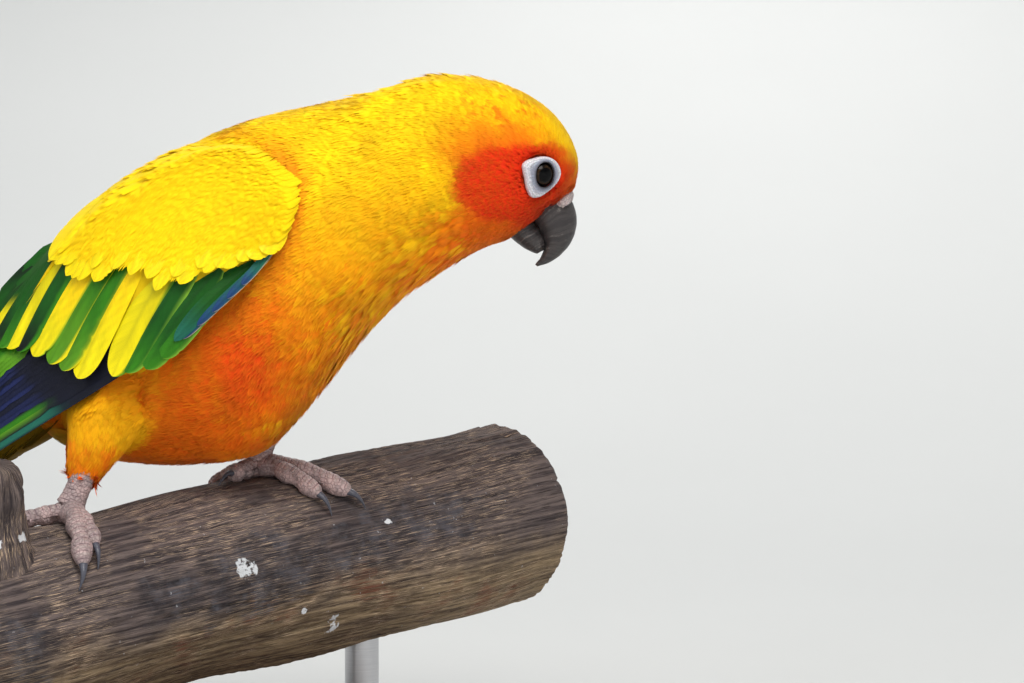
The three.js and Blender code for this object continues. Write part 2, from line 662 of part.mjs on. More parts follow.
function baseBody() {
  const edge = 1.5;
  const middle = branchPoint(BASE_MIDDLE, 0, 0);
  const outline = [[0, 0], [BASE_RADIUS - edge, 0], [BASE_RADIUS, edge],
    [BASE_RADIUS, BASE_THICKNESS - edge * 2], [BASE_RADIUS - edge * 2, BASE_THICKNESS],
    [0, BASE_THICKNESS]];
  return solidOf(new THREE.LatheGeometry(outline.map(([r, h]) => new THREE.Vector2(r, h)), 40)
    .rotateX(Math.PI / 2).translate(middle.x, middle.y, -BASE_DROP));
}

// The scene graph
const finish = (color, roughness, metalness = 0) => (
  new THREE.MeshStandardMaterial({ color, roughness, metalness }));
const YELLOW = finish(0xf6c80c, 0.8);
const ORANGE = finish(0xe8790c, 0.8);
const RED_ORANGE = finish(0xd9550a, 0.8);
const GREEN = finish(0x3a6b14, 0.6);
const OLIVE = finish(0x4b5a1c, 0.6);
const HORN = finish(0x2f2b2c, 0.4);
const CLAW = finish(0x4a4a52, 0.4);
const BARE_SKIN = finish(0xb9b2b6, 0.7);
const TOE_SKIN = finish(0x8c7f84, 0.75);
const EYE = finish(0x1b1210, 0.1);
const BARK = finish(0x5c5552, 0.9);
const BASE_WOOD = finish(0x3b2a20, 0.5);
const STEEL = finish(0xb5b5b5, 0.35, 1);

const bird = new THREE.Group();
const middle = branchPoint(BASE_MIDDLE, 0, 0);
bird.position.set(-middle.x, -middle.y, BASE_DROP);

function add(name, body, material) {
  const mesh = new THREE.Mesh(geometryOf(body), material);
  mesh.name = name;
  bird.add(mesh);
}

const whole = bodyForm();
const sides = [['right', -1], ['left', 1]];
const sockets = sides.flatMap(([, side]) => [eyeBall(side, GAP), eyeRing(side, GAP)]);
const headBody = sockets.reduce((head, socket) => head.subtract(socket),
  between(whole, NECK_HEAD, null));

add('torso', between(whole, null, TORSO_NECK), ORANGE);
add('neck', between(whole, TORSO_NECK, NECK_HEAD), YELLOW);
add('head', largest(headBody.subtract(upperBillForm(GAP)).subtract(faceLoft(LOWER_BILL, 12, 0, GAP))
  .subtract(cereForm())), ORANGE);
add('cere', cereForm(), BARE_SKIN);
add('bill_upper', upperBillForm(0), HORN);
add('bill_lower', largest(faceLoft(LOWER_BILL, 12, 0).subtract(upperBillForm(GAP))), HORN);
add('tail', tailBody(), OLIVE);
for (const [name, side] of sides) {
  add(`eye_${name}`, eyeBall(side), EYE);
  add(`eye_ring_${name}`, eyeRing(side), BARE_SKIN);
  add(`wing_${name}`, wingBody(side), GREEN);
  add(`thigh_${name}`, thighBody(name, side), RED_ORANGE);
  add(`foot_${name}`, footBody(name, side), TOE_SKIN);
  for (const toe of TOES[name]) {
    add(`claw_${name}_${toe.name}`, clawForm(name, footPlace(side), toe), CLAW);
  }
}
add('perch', perchBody(), BARK);
add('stand_base', baseBody(), BASE_WOOD);
ROD_PLACES.forEach((place, i) => add(`stand_rod_${i + 1}`, rodBody(place), STEEL));

export default bird;
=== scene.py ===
import math

import bmesh
import bpy
import numpy as np
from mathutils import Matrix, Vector
from mathutils.bvhtree import BVHTree


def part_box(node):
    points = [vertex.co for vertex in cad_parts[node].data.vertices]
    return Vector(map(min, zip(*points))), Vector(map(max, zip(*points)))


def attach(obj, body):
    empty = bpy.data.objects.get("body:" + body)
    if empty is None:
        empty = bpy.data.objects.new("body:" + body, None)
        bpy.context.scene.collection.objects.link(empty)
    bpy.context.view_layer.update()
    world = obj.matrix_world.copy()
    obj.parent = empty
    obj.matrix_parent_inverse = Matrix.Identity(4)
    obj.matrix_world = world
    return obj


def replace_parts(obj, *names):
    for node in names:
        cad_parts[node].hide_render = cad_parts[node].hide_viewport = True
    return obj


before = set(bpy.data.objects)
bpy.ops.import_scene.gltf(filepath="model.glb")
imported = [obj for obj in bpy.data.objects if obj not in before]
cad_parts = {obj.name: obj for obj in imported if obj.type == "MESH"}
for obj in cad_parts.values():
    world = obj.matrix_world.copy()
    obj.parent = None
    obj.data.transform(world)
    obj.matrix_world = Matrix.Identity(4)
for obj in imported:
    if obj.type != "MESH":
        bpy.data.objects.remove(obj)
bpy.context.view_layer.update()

# %% [markdown]
# A museum model of a sun conure, life size, on a cut length of branch held over a turned base.
# The solids give every place and size. This script dresses them: a skin under a coat of small
# feathers, the long feathers of the wings and tail one by one, a horn bill, bare skin round the
# eyes, scaled feet and weathered wood. Shapes are worked out in millimetres in the bird's own frame,
# whose zero is level with the branch's top between the feet, and are turned into metres at the end.

# %% Colours and the fall of a curve
MM = 0.001
rng = np.random.default_rng(7)


def srgb(red, green, blue):
    """A colour given as seen on a screen, 0 to 255 each, as the linear light that Blender mixes."""
    seen = np.array([red, green, blue]) / 255
    return np.where(seen <= 0.04045, seen / 12.92, ((seen + 0.055) / 1.055) ** 2.4)


def ease(value, low, high):
    """0 below low, 1 above high, and a smooth rise between; low above high gives a fall."""
    share = np.clip((value - low) / (high - low), 0, 1)
    return share * share * (3 - 2 * share)


def profile(stations, at):
    """A smooth curve of value over place through a few (place, value) stations."""
    place, value = np.array(stations, float).T
    order = np.arange(len(place))
    before, after = np.maximum(order - 1, 0), np.minimum(order + 1, order[-1])
    slope = (value[after] - value[before]) / (place[after] - place[before])
    at = np.clip(at, place[0], place[-1])
    i = np.clip(np.searchsorted(place, at, side="right") - 1, 0, len(place) - 2)
    run = place[i + 1] - place[i]
    s = (at - place[i]) / run
    return ((2 * s**3 - 3 * s**2 + 1) * value[i] + (s**3 - 2 * s**2 + s) * run * slope[i]
            + (3 * s**2 - 2 * s**3) * value[i + 1] + (s**3 - s**2) * run * slope[i + 1])


def unit(vectors):
    return vectors / np.maximum(np.linalg.norm(vectors, axis=-1, keepdims=True), 1e-9)


def between(low, high, share):
    return low + (high - low) * share


def tint(low, high, share):
    """From one colour or place to another, by a share for each point."""
    return low + (high - low) * np.asarray(share, float)[..., None]


print("helpers ready")

# %% [markdown]
# The branch leads the frame, because the feet grip it and the stand holds it. It is a chart: a place
# is so far along its axis, so far round it from its top toward the near side, and so high off the bark.

# %% The branch's chart
BRANCH_RADIUS = 27
BRANCH_YAW = math.radians(39.7)
BRANCH_RISE = math.radians(7)
BRANCH_MIDDLE = np.array([-34.7, 0, -31.4])
BRANCH_ENDS = (-92, 122)
BASE_MIDDLE = 12
BASE_DROP = 86
SIDES = (("right", -1), ("left", 1))
ALONG = np.array([math.cos(BRANCH_RISE) * math.cos(BRANCH_YAW), math.cos(BRANCH_RISE) * math.sin(BRANCH_YAW),
                  math.sin(BRANCH_RISE)])
ABOVE = unit(np.array([0, 0, 1.0]) - ALONG * ALONG[2])
NEAR = np.cross(ALONG, ABOVE)


def branch_radius(a, turn):
    waves = 0.7 * np.sin(a / 21 + 2 * turn) + 0.5 * np.sin(a / 11 - 3 * turn + 1)
    hollow = -1.6 * np.exp(-(((a - 8) / 40) ** 2)) * np.maximum(np.cos(turn - 2.2), 0) ** 2
    return BRANCH_RADIUS + waves + hollow + 0.012 * np.maximum(a - 60, 0)


def branch_point(a, turn, lift):
    a, turn, lift = np.broadcast_arrays(np.asarray(a, float), turn, lift)
    out = (branch_radius(a, turn) + lift)[..., None]
    return BRANCH_MIDDLE + a[..., None] * ALONG + out * (
        np.sin(turn)[..., None] * NEAR + np.cos(turn)[..., None] * ABOVE)


stand_middle = branch_point(BASE_MIDDLE, 0, 0)
SHIFT = np.array([-stand_middle[0], -stand_middle[1], BASE_DROP])


def to_row(points):
    """From the bird's frame in millimetres to the part's frame in metres."""
    return (np.asarray(points) + SHIFT) * MM


def from_row(points):
    return np.asarray(points) / MM - SHIFT


print("bird's frame sits at", SHIFT.round(3), "mm in the part's frame")


# %% [markdown]
# Shader sums read as sums: Wire wraps a socket and Paint makes the nodes. Whatever varies over a
# surface goes to the colour, the roughness or a bump, which an export can bake.

# %% Sockets with arithmetic
class Wire:
    """A number that varies over a surface; arithmetic on it adds Math nodes."""

    def __init__(self, paint, socket):
        self.paint, self.socket = paint, socket

    def math(self, operation, *others):
        return self.paint.node("ShaderNodeMath", {"operation": operation}, [self, *others])

    def __add__(self, other): return self.math("ADD", other)
    def __sub__(self, other): return self.math("SUBTRACT", other)
    def __mul__(self, other): return self.math("MULTIPLY", other)

    def step(self, low, high):
        """0 at low and 1 at high, smooth between; low above high falls."""
        smooth = {"interpolation_type": "SMOOTHSTEP"}
        return self.paint.node("ShaderNodeMapRange", smooth, [self, low, high, 0.0, 1.0])


class Paint:
    """One material's nodes."""

    def __init__(self, name, **constants):
        self.material = bpy.data.materials.new(name)
        self.material.use_nodes = True
        self.tree = self.material.node_tree
        self.shader = self.tree.nodes["Principled BSDF"]
        for socket, value in constants.items():
            self.shader.inputs[socket.replace("_", " ")].default_value = value

    def node(self, kind, settings=None, inputs=(), out=0):
        made = self.tree.nodes.new(kind)
        for key, value in (settings or {}).items():
            setattr(made, key, value)
        pairs = inputs.items() if isinstance(inputs, dict) else enumerate(inputs)
        for key, value in pairs:
            if isinstance(value, Wire):
                self.tree.links.new(value.socket, made.inputs[key])
            else:
                made.inputs[key].default_value = value
        return Wire(self, made.outputs[out])

    def place(self, scale=(1, 1, 1)):
        """Object coordinates, stretched."""
        coordinates = self.node("ShaderNodeTexCoord", out=3)
        return self.node("ShaderNodeMapping", {}, {"Vector": coordinates, "Scale": scale})

    def attribute(self, name, out=0):
        return self.node("ShaderNodeAttribute", {"attribute_name": name}, out=out)

    def join(self, *parts):
        """Three numbers as one vector."""
        return self.node("ShaderNodeCombineXYZ", {}, parts)

    def part(self, vector, axis):
        return self.node("ShaderNodeSeparateXYZ", {}, [vector], out=axis)

    def noise(self, vector, scale, detail=3.0, rough=0.5):
        return self.node("ShaderNodeTexNoise", {}, {"Vector": vector, "Scale": scale, "Detail": detail,
                                                    "Roughness": rough})

    def net(self, vector, scale):
        """How far a point is from the edges of a net of cells."""
        edges = {"feature": "DISTANCE_TO_EDGE"}
        return self.node("ShaderNodeTexVoronoi", edges, {"Vector": vector, "Scale": scale})

    def colour(self, low, high, share, kind="MIX"):
        """A Mix node on colours."""
        as_colour = lambda c: c if isinstance(c, Wire) else (*[float(v) for v in c], 1.0)
        return self.node("ShaderNodeMix", {"data_type": "RGBA", "blend_type": kind},
                         {0: share, 6: as_colour(low), 7: as_colour(high)}, out=2)

    def bump(self, height, strength, distance):
        return self.node("ShaderNodeBump", {}, {"Strength": strength, "Distance": distance, "Height": height})

    def set(self, socket, wire):
        self.tree.links.new(wire.socket, self.shader.inputs[socket])


print("paint ready")

# %% [markdown]
# Plumage carries its colour in the mesh, one colour at each point, worked out below from the
# bird's markings, so that the skin and every feather on it agree. The material adds the barbs, the
# fine slanting lines on both sides of a feather's shaft, from an attribute that says how far a point
# is across and along its feather.

# %% Plumage
SINE_PERIOD = 6.283


def plumage(name, barb, roughness, sheen):
    paint = Paint(name, Roughness=roughness, Sheen_Weight=sheen, Sheen_Roughness=0.4, Specular_IOR_Level=0.2,
                  Sheen_Tint=(1.0, 0.75, 0.25, 1))
    vane = paint.attribute("vane", out=1)
    across, along = paint.part(vane, 0), paint.part(vane, 1)
    slant = along - across.math("ABSOLUTE") * 1.3
    wander = paint.noise(paint.place(), 900, 2.0)
    lines = (slant * (SINE_PERIOD / barb) + wander * 4).math("SINE") * 0.5 + 0.5
    clumps = paint.noise(paint.join(across * 0.3, slant * 1.4, along * 0.04), 1.0, 2.0)
    shade = lines * 0.08 + clumps * 0.18 + 0.87
    grey = paint.join(shade, shade, shade)
    paint.set("Base Color", paint.colour(paint.attribute("plume"), grey, 1.0, "MULTIPLY"))
    paint.set("Normal", paint.bump(lines * 0.6 + clumps, 0.22, 0.0002))
    return paint.material


coat_feathers = plumage("coat_feathers", 0.45, 0.8, 0.12)
long_feathers = plumage("long_feathers", 0.6, 0.5, 0.05)
print("plumage:", coat_feathers.name, long_feathers.name)

# %% [markdown]
# Bare parts are horn, skin and the wet eye. Horn is dark, with pale flakes where it wears and grows
# out. Bare skin is finely creased, and the feet have a net of small scales over pink-grey skin.

# %% Horn, bare skin and eye
def horn(name, dark, pale, flaking, roughness):
    """Horn with growth lines across it and thin pale flakes, by marks of how far round and along."""
    paint = Paint(name, Specular_IOR_Level=0.4)
    marks = paint.attribute("vane", out=1)
    around, along = paint.part(marks, 0), paint.part(marks, 1)
    patches = paint.noise(paint.place(), 150, 4.0, 0.6)
    growth = paint.noise(paint.join(along * 22 + patches * 4, around * 0.7, 0.0), 1.0, 3.0)
    worn = paint.noise(paint.place((520, 1100, 520)), 1.0, 5.0, 0.6)
    flakes = (growth * 0.7 + worn * 0.5 + patches * 0.4).step(0.88 - flaking, 0.98 - flaking)
    lines = growth.step(0.40, 0.52)
    paint.set("Base Color", paint.colour(dark, pale, flakes * 0.55 + lines * 0.10 + patches * 0.10))
    paint.set("Roughness", flakes * 0.25 + roughness)
    paint.set("Normal", paint.bump(growth * 0.8 + worn * 0.5 + flakes * 0.5, 0.5, 0.0003))
    return paint.material


def bare_skin(name, base, deep, crease_scale, bump):
    paint = Paint(name, Roughness=0.6, Subsurface_Weight=0.08, Subsurface_Scale=0.001)
    where = paint.place()
    creases = paint.net(where, crease_scale).step(0.0, 0.18)
    blotches = paint.noise(where, 400, 3.0)
    paint.set("Base Color", paint.colour(deep, base, creases * 0.7 + blotches * 0.45))
    paint.set("Normal", paint.bump(creases + blotches * 0.5, bump, 0.00025))
    return paint.material


bill_horn = horn("bill_horn", srgb(44, 40, 42), srgb(126, 118, 114), 0.0, 0.38)
claw_horn = horn("claw_horn", srgb(66, 66, 76), srgb(120, 122, 134), -0.08, 0.28)


def ring_paint():
    """Bare skin round the eye: a dark lid margin, partly its own colour and partly painted shade, a blue-grey
    band of painted shade in the groove, and a white outer rim.
    """
    paint = Paint("ring_skin", Roughness=0.55, Subsurface_Weight=0.08, Subsurface_Scale=0.001)
    out = paint.part(paint.attribute("vane", out=1), 0)
    creases = paint.net(paint.place(), 1700).step(0.0, 0.2)
    # Painted shade: the lid margin is darkened, partly its own colour, and the blue-grey band beside it
    # stands for shade near the lid.
    skin = paint.colour(srgb(34, 31, 34), srgb(150, 154, 170), out.step(0.08, 0.36))
    skin = paint.colour(skin, srgb(226, 224, 230), out.step(0.34, 0.70))
    skin = paint.colour(skin, srgb(220, 198, 196), out.step(0.84, 1.0))
    paint.set("Base Color", paint.colour(srgb(112, 108, 122), skin, creases * 0.45 + 0.55))
    paint.set("Normal", paint.bump(creases, 0.4, 0.0002))
    return paint.material


ring_skin = ring_paint()
cere_skin = bare_skin("cere_skin", srgb(196, 180, 178), srgb(120, 106, 108), 1400, 0.5)
print("horn and skin ready")


# %% Scaled feet
def scaled_skin():
    paint = Paint("toe_skin", Roughness=0.62)
    where = paint.place()
    net = paint.net(where, 900).step(0.0, 0.16)
    scales = paint.attribute("vane", out=1)
    ridge = paint.part(scales, 0)
    tone = paint.noise(where, 260, 3.0)
    skin = paint.colour(srgb(196, 168, 166), srgb(158, 138, 138), tone.step(0.35, 0.65))
    horny = paint.colour(skin, srgb(168, 152, 148), ridge.step(0.55, 1.0) * 0.7)
    creased = paint.colour(srgb(92, 70, 76), horny, net * 0.3 + 0.7)
    creased = paint.colour(srgb(84, 64, 70), creased, ridge.step(0.02, 0.34) * 0.8 + 0.2)
    paint.set("Base Color", creased)
    paint.set("Normal", paint.bump(net + tone * 0.4, 0.7, 0.0003))
    return paint.material


toe_skin = scaled_skin()
wet_eye = Paint("wet_eye", Roughness=0.2, Specular_IOR_Level=0.03, Coat_Weight=0.2, Coat_Roughness=0.03)
reach = wet_eye.part(wet_eye.attribute("vane", out=1), 0)
iris_marks = wet_eye.noise(wet_eye.place(), 1500, 3.0)
iris = wet_eye.colour(srgb(50, 34, 18), srgb(20, 13, 9), iris_marks.step(0.3, 0.7))
pupil = wet_eye.colour(srgb(1, 1, 2), iris, reach.step(0.60, 0.72))
wet_eye.set("Base Color", wet_eye.colour(pupil, srgb(10, 8, 9), reach.step(0.78, 0.95)))
print("feet and eyes ready")

# %% [markdown]
# Meshes start from a flat grid that bmesh makes once for each size. A place function lays its points
# on the object, so that a feather, a toe and the bark all follow the charts.

# %% Grids laid on charts
def grid(rows, cols):
    """A flat grid's points as (along, across), 0 to 1 each, and its faces."""
    flat = bmesh.new()
    bmesh.ops.create_grid(flat, x_segments=cols, y_segments=rows, size=0.5)
    points = np.array([(v.co.y + 0.5, v.co.x + 0.5) for v in flat.verts])
    faces = np.array([[v.index for v in f.verts] for f in flat.faces])
    flat.free()
    return points, faces


class Layer:
    """Gathers many laid grids and tufts into one piece."""

    def __init__(self):
        self.points, self.faces, self.plume, self.vane, self.uv, self.count = [], [], [], [], [], 0

    def add(self, points, faces, plume, vane, uv):
        self.points.append(points)
        self.faces += [f + self.count for f in faces]
        self.plume.append(np.broadcast_to(plume, points.shape))
        self.vane.append(vane)
        self.uv.append(uv)
        self.count += len(points)

    def piece(self, name, material, slot, replaces=()):
        made = mesh_piece(name, np.concatenate(self.points), self.faces, material,
                          np.concatenate(self.plume), np.concatenate(self.vane), np.concatenate(self.uv))
        if replaces:
            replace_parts(made, *replaces)


def add_plume(mesh, plume):
    """Stores a colour for each point."""
    colour = np.concatenate([plume, np.ones((len(plume), 1))], 1)
    mesh.color_attributes.new("plume", "FLOAT_COLOR", "POINT").data.foreach_set("color", colour.ravel())


def add_vane(mesh, vane):
    """Stores the marks that materials read, such as how far across and along a feather a point is."""
    marks = np.asarray(vane, float).ravel()
    mesh.attributes.new("vane", "FLOAT_VECTOR", "POINT").data.foreach_set("vector", marks)


def mesh_piece(name, points, faces, material, plume=None, vane=None, uv=None):
    mesh = bpy.data.meshes.new(name)
    mesh.vertices.add(len(points))
    mesh.vertices.foreach_set("co", to_row(points).ravel())
    corners = np.concatenate([f.ravel() for f in faces]).astype(np.int32)
    sizes = np.concatenate([np.full(len(f), f.shape[1]) for f in faces])
    mesh.loops.add(len(corners))
    mesh.loops.foreach_set("vertex_index", corners)
    mesh.polygons.add(len(sizes))
    mesh.polygons.foreach_set("loop_start", np.concatenate([[0], np.cumsum(sizes)[:-1]]).astype(np.int32))
    mesh.update(calc_edges=True)
    mesh.polygons.foreach_set("use_smooth", np.ones(len(sizes), bool))
    if plume is not None:
        add_plume(mesh, np.clip(plume, 0, 1))
    if vane is not None:
        add_vane(mesh, vane)
    if uv is not None:
        mesh.uv_layers.new(name="OFBake").data.foreach_set("uv", uv[corners].ravel())
    return piece(name, mesh, material)


def piece(name, mesh, material):
    """An object for a finished mesh, riding on the model's one body."""
    made = bpy.data.objects.new(name, mesh)
    bpy.context.scene.collection.objects.link(made)
    mesh.materials.clear()
    mesh.materials.append(material)
    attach(made, "root")
    return made


print("grid helpers ready")

# %% [markdown]
# The camera stands where the photograph's did: level with the bird, square to its right side, a little
# above it, with a long lens.

# %% Camera
VIEW_MIDDLE = np.array([59.4, 0, 38.8])
VIEW_LIFT = math.radians(2.5)
LENS = 110
VIEW_WIDTH = 286.7
distance = LENS / 36 * VIEW_WIDTH
camera = bpy.data.objects.new("camera", bpy.data.cameras.new("camera"))
bpy.context.scene.collection.objects.link(camera)
camera.data.lens = LENS
camera.data.clip_start = 0.01
eye_place = VIEW_MIDDLE + distance * np.array([0, -math.cos(VIEW_LIFT), math.sin(VIEW_LIFT)])
camera.location = to_row(eye_place)
camera.rotation_euler = (math.pi / 2 - VIEW_LIFT, 0, 0)
bpy.context.scene.camera = camera
print("camera", round(distance), "mm away")

# %% [markdown]
# The body's outline is the one the solids were lofted on: a back point, a belly point and a half
# width at each station from rump to face. Here it only tells where on the bird a point is, and which
# way its feathers lie.

# %% Where on the body
BACK = [(-78.5, 25.5), (-70, 46), (-58, 68), (-42.5, 85.5), (-25.5, 96.5), (-8.5, 102.3), (8, 105.8),
        (23.5, 109.5), (36.5, 113.4), (49, 113), (60.5, 109.8), (69.5, 104.2), (75.2, 97), (78, 89),
        (76.9, 81.2)]
BELLY = [(-67.5, 10.5), (-58, 6.5), (-44, 4.3), (-27, 4.2), (-8, 8.5), (8, 27.5), (21, 44), (34, 55),
         (42, 59.6), (47.5, 62.4), (52, 64.6), (55.2, 65.9), (57, 66.7), (58, 67.1), (58.3, 67.3)]
STATIONS = np.arange(0, 14.001, 0.05)


def track(outline, axis):
    return profile([(i, p[axis]) for i, p in enumerate(outline)], STATIONS)


back_line = np.stack([track(BACK, 0), track(BACK, 1)], 1)
belly_line = np.stack([track(BELLY, 0), track(BELLY, 1)], 1)


def body_place(points):
    """For each point, its place from rump to face, and its share from back to belly."""
    place, share = [], []
    chord = belly_line - back_line
    for some in np.array_split(points[:, [0, 2]], max(len(points) // 4000, 1)):
        gap = some[:, None] - back_line
        w = np.clip((gap * chord).sum(-1) / (chord * chord).sum(-1), 0, 1)
        best = np.linalg.norm(gap - w[..., None] * chord, axis=-1).argmin(1)
        place.append(STATIONS[best])
        share.append(w[np.arange(len(some)), best])
    return np.concatenate(place), np.concatenate(share)


def backward(at, share):
    """The way from face to rump along the outline, in the side view."""
    way = []
    for line in (back_line, belly_line):
        slope = np.gradient(line, STATIONS, axis=0)
        way.append(-unit(np.stack([np.interp(at, STATIONS, slope[:, axis]) for axis in (0, 1)], 1)))
    flat = unit(way[0] + (way[1] - way[0]) * share[:, None])
    return np.stack([flat[:, 0], np.zeros(len(flat)), flat[:, 1]], 1)


THIGHS = {"right": ((-48, -15, 34), (-58.6, -20.4, 1.5)), "left": ((-26, 15, 36), (-11.6, 19.4, 9.5))}
THIGH_SIZES = (9, 12.2, 12.6, 11.4, 9.2, 6.6, 4.4)


def thigh_place(points, name):
    """How far down the thigh a point is, 0 to 1, and how far off its middle line in its own radii."""
    top, bottom = (np.array(end, float) for end in THIGHS[name])
    line = bottom - top
    down = ((points - top) @ line) / (line @ line)
    off = np.linalg.norm(points - top - np.clip(down, 0, 1)[:, None] * line, axis=1)
    return down, off / np.interp(down, np.linspace(0, 1, 7), THIGH_SIZES)


print("outline of", len(STATIONS), "places")

# %% [markdown]
# The folded wing is a chart too: u runs from the bend toward the wing tip, v toward the back, and the
# chart's face bulges from the body as the solids do. Feathers are laid on it, and the coat stops under it.

# %% The wing's chart
WING_FALL = math.radians(37)
WING_BEND = (0, 83)
WING_LOWER = ((-2, 0), (2, -5), (10, -9), (22, -12), (40, -14.6), (60, -17), (76, -12.6),
              (94, -8.6), (112, -5.6), (132, -3), (152, -1))
WING_UPPER = ((-2, 9), (2, 16), (10, 22), (22, 26.5), (40, 29), (60, 27), (76, 22.6),
              (94, 17), (112, 11.4), (132, 6), (152, 1))
WING_DEPTH = ((-2, 29.5), (10, 33), (25, 35.2), (45, 35.4), (60, 32.5), (75, 28), (95, 21))
WING_RIDGE = -6  # the line along the wing, in v, where its face stands out most
DOME_ABOVE, DOME_BELOW = 4, 52  # how far past its edges the front's dome would meet the middle plane
ROOF_DEPTH, ROOF_TAPER, ROOF_SLOPE, ROOF_AT = 19, 0.26, 0.6, 95  # folded primaries lie like a roof
ROOF_BLEND = (44, 96)
BACK_CLEAR = 6  # the middle of the back, to each side, that no wing covers


def wing_depth(u, v):
    """How far the folded wing's face is from the bird's middle plane."""
    reach = np.where(v > WING_RIDGE, profile(WING_UPPER, u) + DOME_ABOVE - WING_RIDGE, DOME_BELOW)
    domed = profile(WING_DEPTH, u) * np.sqrt(np.maximum(1 - ((v - WING_RIDGE) / reach) ** 2, 0.03))
    roofed = ROOF_DEPTH - ROOF_TAPER * (u - ROOF_AT) - ROOF_SLOPE * v
    return between(domed, roofed, ease(u, *ROOF_BLEND))


def wing_point(u, v, lift, side):
    """A point over the folded wing, u toward the tip and v toward the back; side is -1 on the right."""
    def place(a, b):
        x = WING_BEND[0] - a * math.cos(WING_FALL) - b * math.sin(WING_FALL)
        z = WING_BEND[1] - a * math.sin(WING_FALL) + b * math.cos(WING_FALL)
        return np.stack([x, -wing_depth(a, b), z], -1)
    u, v, lift = np.broadcast_arrays(np.asarray(u, float), v, lift)
    out = unit(np.cross(place(u + 0.5, v) - place(u - 0.5, v), place(u, v + 0.5) - place(u, v - 0.5)))
    out = np.where(out[..., 1:2] > 0, -out, out)
    return (place(u, v) + out * lift[..., None]) * np.array([1, -side, 1])


def wing_chart(points):
    """Where on the folded wing's chart a point lies in the side view."""
    x, z = points[:, 0] - WING_BEND[0], points[:, 2] - WING_BEND[1]
    cos, sin = math.cos(WING_FALL), math.sin(WING_FALL)
    return -x * cos - z * sin, -x * sin + z * cos


def under_wing(points, margin):
    """Which points a wing covers, the margin or more inside its edge."""
    u, v = wing_chart(points)
    between_edges = (v > profile(WING_LOWER, u) + margin) & (v < profile(WING_UPPER, u) - margin)
    return (u > margin) & (u < 100) & between_edges & (np.abs(points[:, 1]) > BACK_CLEAR)


def wing_gap(points):
    """How far outside the wing's edge a point is, in the side view; 99 inside it or mid-back."""
    u, v = wing_chart(points)
    along = np.clip(u, WING_LOWER[0][0], WING_LOWER[-1][0])
    over = np.maximum(v - profile(WING_UPPER, along), profile(WING_LOWER, along) - v)
    far = np.hypot(np.maximum(over, 0), np.maximum(WING_LOWER[0][0] - u, 0))
    return np.where((far > 0) & (np.abs(points[:, 1]) > BACK_CLEAR), far, 99)


print("wing chart ready")

# %% [markdown]
# The markings are a short list of colours laid over a yellow bird, each an egg-shaped patch with a
# place, a size and a soft edge: a red-orange face, an orange breast and belly, yellow thighs. Two
# patches also paint shade: a dark gold one on the rump's side under the wing, and a deep orange one
# along the belly's bottom that is partly its own colour and partly painted shade. One function gives
# the colour of any point, for the skin and for the coat alike, and it paints a band of shade along
# the folded wing's edge.

# %% Markings
YELLOW = srgb(254, 212, 0)
GOLD = srgb(249, 178, 0)
AMBER = srgb(243, 140, 0)
TANGERINE = srgb(240, 112, 0)
ORANGE = srgb(234, 88, 0)
FLAME = srgb(224, 44, 2)
DEEP_ORANGE_AND_SHADE = srgb(222, 88, 0)
OLIVE = srgb(142, 112, 4)
PALE = srgb(255, 224, 30)
WING_YELLOW = srgb(255, 218, 0)
MARKINGS = (  # middle (x, to the side, z), half sizes, colour, softness, strength
    ((30, 0, 62), (24, 40, 30), GOLD, 0.9, 0.75),
    ((12, 0, 50), (30, 40, 34), GOLD, 0.8, 0.9),
    ((10, 0, 40), (26, 40, 26), AMBER, 0.9, 0.55),
    ((-3, 0, 66), (11, 40, 24), AMBER, 0.9, 0.85),
    ((-18, 0, 40), (26, 40, 30), TANGERINE, 0.7, 0.95),
    ((-16, 0, 36), (17, 40, 20), ORANGE, 0.9, 0.9),
    ((-12, 0, 34), (9, 40, 11), FLAME, 0.9, 0.65),
    ((-34, 0, 16), (24, 40, 16), ORANGE, 0.8, 0.9),
    # The belly's bottom turns a deeper orange: partly its own colour, partly painted shade on the underside.
    ((-24, 0, 6), (38, 40, 12), DEEP_ORANGE_AND_SHADE, 0.9, 0.6),
    # Painted shade: a dark gold patch on the rump's side, under the folded wing.
    ((-64, 0, 14), (14, 30, 16), GOLD * 0.55, 0.8, 0.95),
    ((-74, 0, 10), (12, 20, 14), OLIVE, 0.7, 0.9),
    ((40, 0, 58), (16, 40, 10), AMBER, 0.9, 0.8),
    ((54, 13, 92), (16, 15, 9), AMBER, 0.9, 0.85),
    ((58, 14, 91), (12, 11, 6), ORANGE, 0.9, 0.6),
    ((52, 0, 67), (16, 30, 10), TANGERINE, 0.8, 0.95),
    ((56, 12, 73), (13, 11, 7), ORANGE, 0.8, 0.75),
    ((59.8, 17, 82.7), (16, 13.5, 10.2), FLAME, 0.3, 1.0),
    ((68, 11, 88), (13, 9, 5.5), FLAME, 0.4, 0.9),
    ((69, 10, 77), (10, 11, 10.5), FLAME, 0.45, 1.0),
    ((77, 0, 98), (8, 15, 9.5), YELLOW, 0.6, 0.8),
    ((76, 0, 81), (6, 9, 6), ORANGE, 0.7, 0.9),
)


def ripple(points, size, seed):
    """A soft, seeded pattern between about -1 and 1, its patches about that size."""
    draw = np.random.default_rng(seed)
    waves = unit(draw.normal(size=(9, 3))) * (2 * math.pi / size) * draw.uniform(0.6, 1.5, (9, 1))
    return np.sin(points @ waves.T + draw.uniform(0, 6.3, 9)).sum(1) / 3


